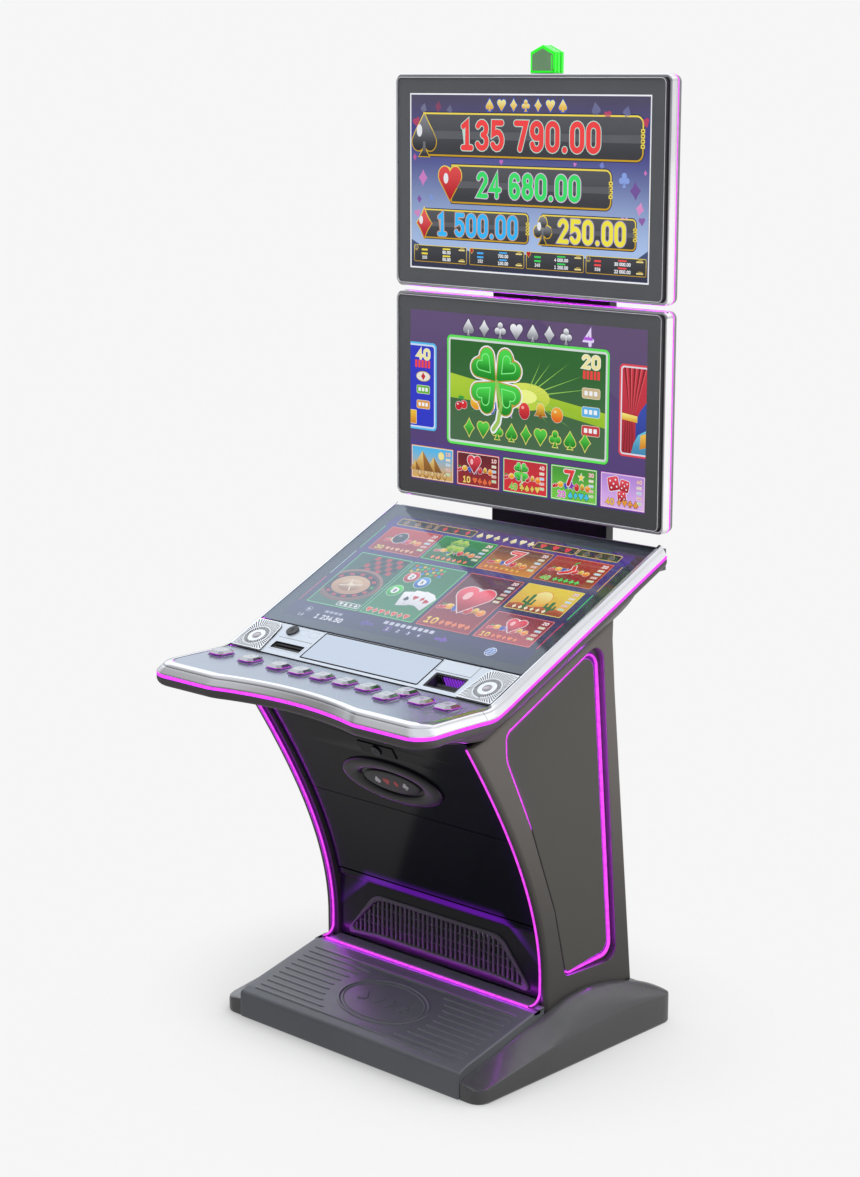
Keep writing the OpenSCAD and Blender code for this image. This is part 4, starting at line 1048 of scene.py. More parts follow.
emblem = Solid(EMBLEM)
angles = [2 * pi * i / EMBLEM_STEPS for i in range(EMBLEM_STEPS)]
emblem.loft([[(a * cos(t), b * sin(t), z) for a, b, z in SURROUND] for t in angles],
            caps=False, closed=True)
for rows in (RAISED_OVAL, OVAL_FLOOR):
    emblem.loft([at_z(ellipse(a, b, count=EMBLEM_STEPS), z) for a, b, z in rows])
for i, kind in enumerate(SUITS):
    for loop in suit(kind):
        emblem.plate([place(loop, -36 + 24 * i, 0, 8.6)], 12.2, 13.1, 0.25, 2,
                     mat=1 if kind in ("heart", "diamond") else 2)
emblem.replace("front_emblem", [MAT["emblem"], MAT["suitred"], MAT["suitwhite"]],
               "emblem_gloss", smooth=50)

# Kick panel and the vent grille in it, outlines in (x, z)
VENT = ccw(rounded([(-246, 116), (-166, 212), (166, 212), (246, 116), (156, 124), (-156, 124)],
                   [8, 46, 46, 8, 90, 90], 12))
SLATS, SLAT_X = 37, 218        # count, x of the outermost
SLAT_SECTION = [(-2.7, -5.2), (2.7, -5.2), (2.9, -0.4), (2.3, 0.9), (1.1, 1.5), (-1.1, 1.5),
                (-2.3, 0.9), (-2.9, -0.4)]
CROSS_BARS = ((150, 214), (167, 196), (186, 176))   # z, half length

kick = Solid(front_view(0, -30, 0))
kick_hole = [(x * 0.972, 166 + (z - 166) * 0.925) for x, z in VENT]
kick.plate([[(-261.4, 111.2), (261.4, 111.2), (261.4, 233.4), (-261.4, 233.4)], kick_hole],
           -6, 0, 0.8, 2)
kick.replace("kick_panel", MAT["kick"], "kick_black")

grille = Solid(front_view(0, -30.2, 0))
opening = ccw([(x * 0.945, 167 + (z - 166.5) * 0.80) for x, z in VENT])
ledge = offset(opening, -6)
grille.stack(VENT, [(0, 0), (0, 2.2), (0.5, 3.6), (1.6, 4.6), (3.0, 4.8)], caps=False)
grille.sheet([offset(VENT, 3.0), offset(opening, -2.2)], 4.8)
grille.stack(opening, [(-2.2, 4.8), (-1.2, 4.2), (-0.4, 2.8), (0, 1.0), (0, -6.5)], caps=False)
grille.sheet([VENT, ledge], 0)
grille.wall(ledge, (0, -6.5))
grille.sheet([ledge, opening], -6.5)


def opening_span(x):
    """Lowest and highest z of the grille opening at x, or None outside it."""
    zs = []
    for i in range(len(opening)):
        (x1, z1), (x2, z2) = opening[i - 1], opening[i]
        if (x1 > x) != (x2 > x):
            zs.append(z1 + (z2 - z1) * (x - x1) / (x2 - x1))
    return (min(zs), max(zs)) if zs else None


for i in range(SLATS):
    x = -SLAT_X + 2 * SLAT_X * i / (SLATS - 1)
    span = opening_span(x)
    if not span or span[1] - span[0] < 6:
        continue
    z0, z1 = span[0] - 0.6, span[1] + 0.6
    grille.loft([[(x + a, z, b) for a, b in SLAT_SECTION] for z in (z0, (z0 + z1) / 2, z1)])
for z, half in CROSS_BARS:
    square = [(z + a, -3.2 + b) for a, b in ((-1.5, -1.5), (1.5, -1.5), (1.5, 1.5), (-1.5, 1.5))]
    grille.across(square, (-half, half))
grille.replace("vent_grille", MAT["grille"], "grille_grey", merge=0.0, smooth=34)

# ------------------------------------------------------------------ console rim and tub
# The rim follows stations, each a point on its outer edge and one on its inner edge.

RIM_X, RIM_FRONT_Y = 350, -438       # outermost reach of the rim
CORNER_X, CORNER_Y, CORNER_R = 310, -398, 40                     # outer front corner
INNER_CORNER_X, INNER_CORNER_Y, INNER_CORNER_R = 293, -382, 32.3    # inner front corner


def bow(x):
    """Share of the dip in the middle of the front edge."""
    return max(0.0, 1 - (x / 183) ** 2)


def slope_z(y):
    return SLANT_Z + (y - SLANT_Y) * tan(radians(SLANT_ANGLE))


def led_z(y):
    return max(709.0, 922 + (y - 204) * 0.4677)


def half_stations():
    """Stations from the right rear end to the middle of the front."""
    rows = [((RIM_X, y, led_z(y)), (331.3, y, slope_z(y)))
            for y in (209, 150, 60, -30, -120, -190, -232)]
    rows.append(((RIM_X, -256, 709.5), (331.3, -260, DECK_Z)))
    rows += [((RIM_X, y, 709), (325.3, y, DECK_Z)) for y in (-300, -350)]
    for i in range(11):
        c, s = cos(radians(9 * i)), sin(radians(9 * i))
        rows.append(((CORNER_X + CORNER_R * c, CORNER_Y - CORNER_R * s, 708 - i * 0.2),
                     (INNER_CORNER_X + INNER_CORNER_R * c, INNER_CORNER_Y - INNER_CORNER_R * s,
                      DECK_Z)))
    for x in (270, 225, 190, 176, 150, 120, 90, 60, 30, 0):
        rows.append(((x, RIM_FRONT_Y + 28 * bow(x), 706),
                     (x * INNER_CORNER_X / CORNER_X, -414.3 + 22 * bow(x), DECK_Z)))
    return rows


def catmull(p0, p1, p2, p3, t):
    """Centripetal Catmull-Rom point between p1 and p2."""
    d = [((b - a).length ** 0.5 if (b - a).length > 1e-6 else 1e-3)
         for a, b in ((p0, p1), (p1, p2), (p2, p3))]
    m1 = (p1 - p0) / d[0] - (p2 - p0) / (d[0] + d[1]) + (p2 - p1) / d[1]
    m2 = (p2 - p1) / d[1] - (p3 - p1) / (d[1] + d[2]) + (p3 - p2) / d[2]
    m1, m2 = m1 * d[1], m2 * d[1]
    return ((2 * t ** 3 - 3 * t * t + 1) * p1 + (t ** 3 - 2 * t * t + t) * m1
            + (-2 * t ** 3 + 3 * t * t) * p2 + (t ** 3 - t * t) * m2)


def rim_stations(steps=6):
    """All stations from right rear to left rear, as smooth (outer, inner) points."""
    half = half_stations()
    full = half + [((-a[0], a[1], a[2]), (-b[0], b[1], b[2])) for a, b in half[-2::-1]]
    edges = [[Vector(row[side]) for row in full] for side in (0, 1)]
    last = len(full) - 1
    out = []
    for i in range(last):
        for k in range(steps):
            pair = []
            for edge in edges:
                p1, p2 = edge[i], edge[i + 1]
                p0 = edge[i - 1] if i else p1 * 2 - p2
                p3 = edge[i + 2] if i < last - 1 else p2 * 2 - p1
                pair.append(catmull(p0, p1, p2, p3, k / steps))
            out.append(tuple(pair))
    out.append((edges[0][-1], edges[1][-1]))
    for outer, _ in out:
        outer.x = max(-RIM_X, min(RIM_X, outer.x))
        outer.y = max(RIM_FRONT_Y, outer.y)
    return out


STATIONS = rim_stations()


def outward(outer, inner):
    """Level unit vector from the inner edge to the outer one."""
    d = outer - inner
    d.z = 0
    return d.normalized()


# (share of the way from inner to outer edge, height above the line between them)
RIM_SECTION = [
    (0, -3.8), (0, -0.2), (0.012, 0.9), (0.04, 1.9), (0.09, 2.9), (0.16, 3.9), (0.25, 4.9),
    (0.34, 5.7), (0.42, 6.2), (0.50, 6.35), (0.555, 6.05), (0.585, 5.3), (0.600, 4.5),
    (0.615, 4.25), (0.64, 4.45), (0.72, 3.85), (0.82, 2.75), (0.92, 1.75), (0.965, 1.25),
    (0.99, 0.75), (1.0, 0.2), (0.992, -0.35), (0.96, -0.75), (0.85, -1.5), (0.5, -4.8)]
RIM_ENDS = ((0.80, 0.0), (0.93, -0.5), (0.985, -1.6))   # size, shift in y: soft rear ends


def rim_ring(outer, inner, size=1.0, dy=0.0):
    points = [inner.lerp(outer, q) + Vector((0, dy, v)) for q, v in RIM_SECTION]
    if size < 1:
        centre = sum(points, Vector()) / len(points)
        points = [centre + (p - centre) * size for p in points]
    return points


rim = Solid()
rim.loft([rim_ring(*STATIONS[0], *end) for end in RIM_ENDS]
         + [rim_ring(*station) for station in STATIONS[1:-1]]
         + [rim_ring(*STATIONS[-1], *end) for end in RIM_ENDS[::-1]])
rim.replace("chrome_rim", MAT["rimchrome"], "chrome", smooth=30)


def under_rim(section):
    """Solid along the rim's outer edge; section is (outward, up)."""
    solid = Solid()
    rings = []
    for outer, inner in STATIONS:
        d = outward(outer, inner)
        rings.append([outer + d * u + Vector((0, 0, v)) for u, v in section])
    solid.loft(rings)
    return solid


under_rim([(-8.5, -5.95), (-0.6, -5.95), (0.3, -5.6), (0.5, -4.6), (0.5, -2.6), (0.2, -1.5),
           (-0.7, -0.9), (-8.5, -3.2)]
          ).replace("console_led", MAT["led"], "led_magenta", smooth=50)
under_rim([(-12.8, -6.3), (-1.2, -6.3), (-0.3, -6.5), (0.2, -7.2), (0.5, -9), (0.55, -11.5),
           (0.2, -14.2), (-0.8, -17), (-2.6, -19.6), (-5.2, -21.8), (-8.4, -23.3), (-11, -23.9),
           (-12.8, -23.9)]
          ).replace("console_lip", MAT["tub"], "lip_silver", smooth=40)

# two fine joints across the rim, one behind each front corner
joints = Solid()
JOINT_Y, JOINT_HALF, JOINT_DEPTH = -276, Vector((0, 0.35, 0)), Vector((0, 0, 0.3))
for sx in (1, -1):
    outer, inner = min((st for st in STATIONS if st[0].x * sx > 0),
                       key=lambda st: abs(st[0].y - JOINT_Y))
    path = [inner.lerp(outer, q) + Vector((0, 0, v + 0.10)) for q, v in RIM_SECTION[2:19]]
    for p, q in zip(path, path[1:]):
        top = [p - JOINT_HALF, q - JOINT_HALF, q + JOINT_HALF, p + JOINT_HALF]
        joints.add(top + [v - JOINT_DEPTH for v in top],
                   [(0, 1, 2, 3), (7, 6, 5, 4), (0, 4, 5, 1), (3, 2, 6, 7), (0, 3, 7, 4),
                    (1, 5, 6, 2)])
joints.build("rim_joints", MAT["plastic"], "chrome", smooth=50)


def tub_foot(outer):
    """Point on the tub's lower edge below a point on the rim's outer edge."""
    x, y = abs(outer.x), outer.y
    if y >= CORNER_Y:
        foot_x, foot_y = 288.4, -222 + (y - CORNER_Y) * 370 / 607
    elif x > CORNER_X:
        a = atan2(CORNER_Y - y, x - CORNER_X)
        foot_x, foot_y = 248.4 + 40 * cos(a), -222 - 40 * sin(a)
    else:
        foot_x, foot_y = x * 248.4 / CORNER_X, -262
    return Vector((copysign(foot_x, outer.x), foot_y, tub_z(foot_y)))


tub = Solid()
rings = []
for outer, inner in STATIONS:
    d = outward(outer, inner)
    y = 150 + (outer.y - 150) * 0.25 if outer.y > 150 else outer.y
    top = Vector((outer.x, y, led_z(y) - 10))
    foot = tub_foot(outer)
    bulge = Vector((d.x, d.y, -0.9)).normalized()
    wall = [(top - d * 13.4).lerp(foot, k / 10) + bulge * (sin(pi * (k / 10)) * 5.5)
            for k in range(11)]
    rings.append(wall + [foot - d * 6, top - d * 17.4])
tub.loft(rings)
tub.plate([rounded([(-288, -214.5), (288, -214.5), (288, -261.7), (-288, -261.7)],
                   [0, 0, 40, 40], 10)], 650.2, 654)
tub.across([(-214, 650.2), (147.6, 813.3), (147.6, 817.3), (-214, 654.2)], (-288, 288))
tub.across([(143, 814), (148, 814), (161, 882), (156, 882)], (-284, 284))
tub.replace("console_tub", MAT["tub"], "tub_grey", smooth=32, merge=0)

# ------------------------------------------------------------------ deck and strip

BUTTONS = [(-288, -311), (-208, -311), (-131, -311), (-74, -311), (-17.5, -311), (40, -311),
           (97, -311), (163, -333), (168, -288.5), (231, -315), (288, -311)]   # (x, y)
DECK_GAP = 0.7

edge = [(x - DECK_GAP, y) for x, y in ((330.6, -250.8), (330.6, -259), (327.9, -280),
                                       (325, -300), (325, -380))]
edge += arc(INNER_CORNER_X, INNER_CORNER_Y, 32 - DECK_GAP, 32 - DECK_GAP, 0, -90, 12)
edge += [(x, -414 + DECK_GAP + 22 * bow(x * CORNER_X / INNER_CORNER_X))
         for x in [255, 213, 185, 177] + list(range(170, -10, -10))]
deck = Solid()
deck.plate([edge + [(-x, y) for x, y in edge[-2::-1]]]
           + [rrect(37, 37, 1.5, x, y, 3) for x, y in BUTTONS],
           DECK_Z - 4, DECK_Z, DECK_GAP)
deck.replace("deck_plate", MAT["deck"], "deck_silver", smooth=30)

# Speaker grilles: tile, radial slots, domed boss. Places are (x, y) in the slant frame.
SPEAKER = (293.5, -462)
TILE = rounded([(249, -499), (331, -499), (331, -413.5), (262, -413.5)], [3, 3, 3, 20], 8)
BOSS = ((9.4, 2.2), (9.2, 2.7), (8.8, 2.9), (8.3, 2.7), (8.0, 2.3), (6.6, 2.3), (6.4, 2.8),
        (5.6, 3.2), (4.0, 3.4), (2.0, 3.5), (0.4, 3.5))   # radius, height


def ray_length(centre, angle, loop):
    """Distance from centre to the loop in one direction."""
    dx, dy = cos(angle), sin(angle)
    best = 1e9
    for i in range(len(loop)):
        x1, y1 = loop[i - 1]
        x2, y2 = loop[i]
        ex, ey = x2 - x1, y2 - y1
        det = dx * -ey + dy * ex
        if abs(det) < 1e-12:
            continue
        t = ((x1 - centre[0]) * -ey + (y1 - centre[1]) * ex) / det
        u = (dx * (y1 - centre[1]) - dy * (x1 - centre[0])) / det
        if t > 0 and 0 <= u <= 1:
            best = min(best, t)
    return best


def radial_slot(centre, angle, r0, r1, w0, w1):
    """Slot from radius r0 to r1 with half widths w0 and w1 and pointed ends."""
    c, s = cos(angle), sin(angle)
    return [(centre[0] + c * r - s * w, centre[1] + s * r + c * w)
            for r, w in ((r0, -w0), (r1, -w1), (r1 + w1 * 0.8, 0), (r1, w1), (r0, w0),
                         (r0 - w0 * 0.8, 0))]


def radial_slots(centre, tile, inner=40, outer=56):
    slots = [radial_slot(centre, 2 * pi * (k + 0.5) / inner, 18.6, 25.4, 0.66, 0.95)
             for k in range(inner)]
    room = offset(tile, 3.2)
    for k in range(outer):
        angle = 2 * pi * k / outer
        reach = ray_length(centre, angle, room)
        if reach > 33:
            slots.append(radial_slot(centre, angle, 28.4, min(reach, 60), 0.34, 0.62))
    return slots


speakers = Solid(SLANT)
for sx in (1, -1):
    tile = ccw([(x * sx, y) for x, y in TILE])
    centre = (SPEAKER[0] * sx, SPEAKER[1])
    speakers.plate([tile] + radial_slots(centre, tile), 0.7, 2.2, 0.35, 1, wall=1)
    speakers.plate([offset(tile, 1.0)], 0.15, 0.6, mat=1)
    speakers.loft([at_z(ellipse(r, r, *centre, 40), z) for r, z in BOSS], 2)
speakers.replace("speaker_grilles", [MAT["grid"], MAT["plastic"], MAT["lip"]], "strip_silver",
                 smooth=35)

# sloped strip with its openings
NOTE_SLOT = (-199.5, -473)     # centre of the bank note slot
NOTE_TRAY = (201, -469.5)      # centre of the note tray
CENTRE_PANEL = (0, -452.5)
slot_hole = rrect(78, 19, 2.5, *NOTE_SLOT, 4)
strip = Solid(SLANT)
strip.plate([[(-330.6, -500), (330.6, -500), (330.6, -411.2), (-330.6, -411.2)], slot_hole,
             ellipse(10.2, 10.2, -227, -428, 40), rrect(77, 40.4, 2.5, *NOTE_TRAY, 4),
             rrect(300.2, 79.2, 2.8, *CENTRE_PANEL, 4)]
            + [ellipse(36.5, 36.5, 291 * sx, -457, 48) for sx in (1, -1)],
            -4, 0, 0.5, 2, wall=1)
strip.plate([rrect(85, 30.5, 1.2, 196, -428.2, 4)], -0.1, 0.45, 0.3, 2)
strip.plate([rrect(84, 25, 3.5, *NOTE_SLOT, 4), slot_hole], -0.1, 0.5, 0.25, 2)
strip.replace("strip_panel", [MAT["strip"], MAT["plastic"]], "strip_silver", smooth=35)

centre_panel = Solid(SLANT)
centre_panel.plate([rrect(295.4, 74.4, 1.8, *CENTRE_PANEL, 4)], -3.2, 0.10, 0.4, 2, wall=1)
centre_panel.plate([rrect(294.4, 73.4, 1.4, *CENTRE_PANEL, 4)], 0.0, 0.16, 0.05, 1)
centre_panel.replace("centre_panel", [MAT["centre"], MAT["plastic"]], "strip_silver", smooth=35)

# shadow gaps and engraved lines, then the stepped mouth of the note slot
mouth = Solid(SLANT)
slit = rrect(70, 5.2, 1.2, -199.5, -471.2, 4)
mouth.plate([rrect(306, 84, 2, *CENTRE_PANEL, 4)], -5.6, -4.2)
mouth.plate([rrect(88, 0.9, 0.3, -199.5, -449.6, 3)], -0.3, 0.12)
mouth.plate([rrect(90, 0.6, 0.2, -199.5, -412.6, 3)], -0.3, 0.10)
for x in (-199, -171):
    mouth.plate([rrect(21, 16, 2.6, x, -427, 4), rrect(21 - 1.1, 16 - 1.1, 2.1, x, -427, 4)],
                -0.3, 0.10, mat=1)
mouth.plate([rrect(86.6, 32.1, 1.6, 196, -428.2, 4), rrect(85.2, 30.7, 1.2, 196, -428.2, 4)],
            -0.3, 0.1)
mouth.plate([slot_hole, slit], -7.5, -3.2, 0.6, 2)
mouth.plate([slit], -14, -9)
mouth.plate([rrect(70, 2.2, 0.8, -199.5, -477.6, 4)], -3.4, -2.3, 0.3, 2)
mouth.build("slot_mouth", [MAT["plastic"], MAT["deck"]], "unit_black", smooth=35)

# note tray: walls, floor, ramp, comb of teeth
tray = Solid(SLANT)
tray.plate([rrect(77, 40, 2.4, *NOTE_TRAY, 4), rrect(70, 33, 2.0, *NOTE_TRAY, 4)], -26, -0.4, 0.8)
tray.plate([rrect(72, 35, 2, *NOTE_TRAY, 4)], -26.8, -22)
tray.across([(-478, -20), (-465, -13), (-462, -13.4), (-478, -21.8)], (172, 230))
for i in range(10):
    tray.plate([rrect(2.0, 3.0, 0.6, 171 + i * 6.6, -455.2, 2)], -21.8, -2.6, 0.5, 2,
               mat=1 if i > 1 else 0)
tray.plate([rrect(64, 1.2, 0.4, 201, -483.9, 2)], -21.6, -18.6, 0.3, 1, mat=1)
tray.replace("note_bezel", [MAT["plastic"], MAT["violet"]], "unit_black", smooth=35)

# ------------------------------------------------------------------ push buttons

# Rows are width, corner cut, height above the deck.
SKIRT = ((37.8, 7.6, 3.46), (38.4, 7.8, 3.52), (41.0, 8.8, 4.85), (41.2, 8.9, 4.95))
BELT = ((41.2, 8.9, 4.93), (41.6, 9.0, 5.0), (41.6, 9.0, 5.4), (41.2, 8.9, 5.5))
FACETS = ((41.2, 8.9, 5.45), (40.8, 8.8, 5.6), (29.2, 5.6, 9.0), (28.4, 5.4, 9.25),
          (27.0, 5.0, 9.35), (26.0, 4.8, 9.15), (25.6, 4.7, 8.9))
WINDOW = ((25.7, 4.7, 8.7), (25.5, 4.7, 9.0), (24.6, 4.5, 9.45), (23.4, 4.2, 9.65),
          (15.0, 2.6, 9.7))


def octagon(width, cut, radius):
    """Square with cut and softened corners."""
    h = width / 2
    return rounded([(-h + cut, -h), (h - cut, -h), (h, -h + cut), (h, h - cut), (h - cut, h),
                    (-h + cut, h), (-h, h - cut), (-h, -h + cut)], radius, 3)


for i, (x, y) in enumerate(BUTTONS):
    button = Solid(frame_at((x, y, DECK_Z)))
    button.stack(rrect(34, 34, 1.5, steps=3), [(0, -11.8), (0, 3.0)])
    for rows, mat in ((SKIRT, 0), (BELT, 1), (FACETS, 0), (WINDOW, 2)):
        button.loft([at_z(octagon(width, cut, 1.0), z) for width, cut, z in rows], mat,
                    caps=rows is not FACETS)
    button.plate([rrect(10.5, 7.0, 1.4, steps=4)], 9.6, 9.74, mat=3)
    name = "button_%02d" % (i + 1)
    button.replace(name, [MAT["keychrome"], MAT["belt"], MAT["window"], MAT["label"]],
                   "button_chrome", name, smooth=24, merge=0)

lamps = Solid()
for x, y in BUTTONS:
    seat = frame_at((x, y, DECK_Z))
    lamps.plate([octagon(41, 9, 1.2), rrect(35.4, 35.4, 1.2, steps=3)], 0.05, 0.9, 0.45, 2,
                frame=seat)
    # sleeve under the collar: dim purple painted glow standing in for the button's light and shade
    # in the gap
    lamps.plate([rrect(36.4, 36.4, 1.2, steps=3), rrect(35, 35, 1.0, steps=3)], -24, 0.6, mat=1,
                frame=seat)
lamps.replace("button_lamps", [MAT["collar"], MAT["flank"]], "led_magenta", smooth=30, merge=0)

# ------------------------------------------------------------------ picture tools


def linear(code):
    """Linear colour of '#rrggbb'."""
    channels = [int(code[i:i + 2], 16) / 255 for i in (1, 3, 5)]
    return tuple(x / 12.92 if x <= 0.04045 else ((x + 0.055) / 1.055) ** 2.4 for x in channels)


INKS = {}


def ink(spec, low=None, high=None):
    """Ink for '#rrggbb', or '#top>#bottom' spread between two heights in metres."""
    key = (spec, low, high)
    if key not in INKS:
        name = "ink_%02d" % len(INKS)
        if ">" in spec:
            top, bottom = (linear(code) for code in spec.split(">"))
            INKS[key] = lit_ink(name, top, spread=0.05, scale=9.0,
                                gradient=dict(start=low, start_colour=bottom,
                                              end=high, end_colour=top))
        else:
            INKS[key] = lit_ink(name, linear(spec), spread=0.05, scale=16.0)
    return INKS[key]


LAYER = 0.014      # height of one printed layer
WHITE = "#ffffff"
GOLD = "#ffe45a>#d8a818"
NARROW = 0.42      # width of a point or space against a numeral


def ribbon(path, width, closed=False):
    """Loops of a band along a path; an open band has round ends."""
    h = width / 2
    points = [Vector(p) for p in path]
    if closed:
        loop = [(p.x, p.y) for p in points]
        return [offset(loop, -h), offset(loop, h)]
    left, right = [], []
    n = len(points)
    for i in range(n):
        d = points[min(n - 1, i + 1)] - points[max(0, i - 1)]
        if d.length < 1e-9:
            continue
        d.normalize()
        normal = Vector((-d.y, d.x))
        if 0 < i < n - 1:
            u = (points[i] - points[i - 1]).normalized()
            v = (points[i + 1] - points[i]).normalized()
            first = Vector((-u.y, u.x))
            normal = first + Vector((-v.y, v.x))
            if normal.length < 1e-6:
                normal = first
            normal.normalize()
            normal = normal / max(0.55, normal.dot(first))
        left.append(points[i] + normal * h)
        right.append(points[i] - normal * h)

    def cap(end, before):
        d = (end - before).normalized()
        angles = [atan2(d.y, d.x) + pi / 2 - pi * k / 6 for k in range(1, 6)]
        return [(end.x + h * cos(a), end.y + h * sin(a)) for a in angles]

    return [[(p.x, p.y) for p in left] + cap(points[-1], points[-2])
            + [(p.x, p.y) for p in right[::-1]] + cap(points[0], points[1])]


# centre lines of the numerals in a cell 1 wide and 1 high: (path, closed)
GLYPHS = {
    "0": [(arc(.5, .74, .38, .26, 0, 180, 8) + arc(.5, .26, .38, .26, 180, 360, 8), True)],
    "1": [([(.18, .84), (.5, 1), (.5, 0)], False), ([(.16, 0), (.84, 0)], False)],
    "2": [(arc(.5, .74, .37, .26, 165, -30, 9) + [(.13, .0), (.9, 0)], False)],
    "3": [(arc(.48, .76, .36, .24, 155, -80, 9), False),
          (arc(.48, .26, .39, .26, 80, -155, 9), False)],
    "4": [([(.68, 0), (.68, 1), (.08, .30), (.95, .30)], False)],
    "5": [([(.84, 1), (.2, 1), (.17, .56)] + arc(.47, .32, .4, .32, 118, -150, 10), False)],
    "6": [(arc(.5, .28, .37, .28, 0, 360, 14)[:-1], True),
          ([(.84, .80)] + arc(.5, .74, .37, .26, 40, 180, 7) + [(.13, .28)], False)],
    "7": [([(.1, 1), (.9, 1), (.42, 0)], False)],
    "8": [(arc(.5, .76, .33, .24, 0, 360, 12)[:-1], True),
          (arc(.5, .27, .38, .27, 0, 360, 12)[:-1], True)],
    "9": [(arc(.5, .72, .37, .28, 0, 360, 14)[:-1], True),
          ([(.16, .20)] + arc(.5, .26, .37, .26, 220, 360, 7) + [(.87, .72)], False)],
}


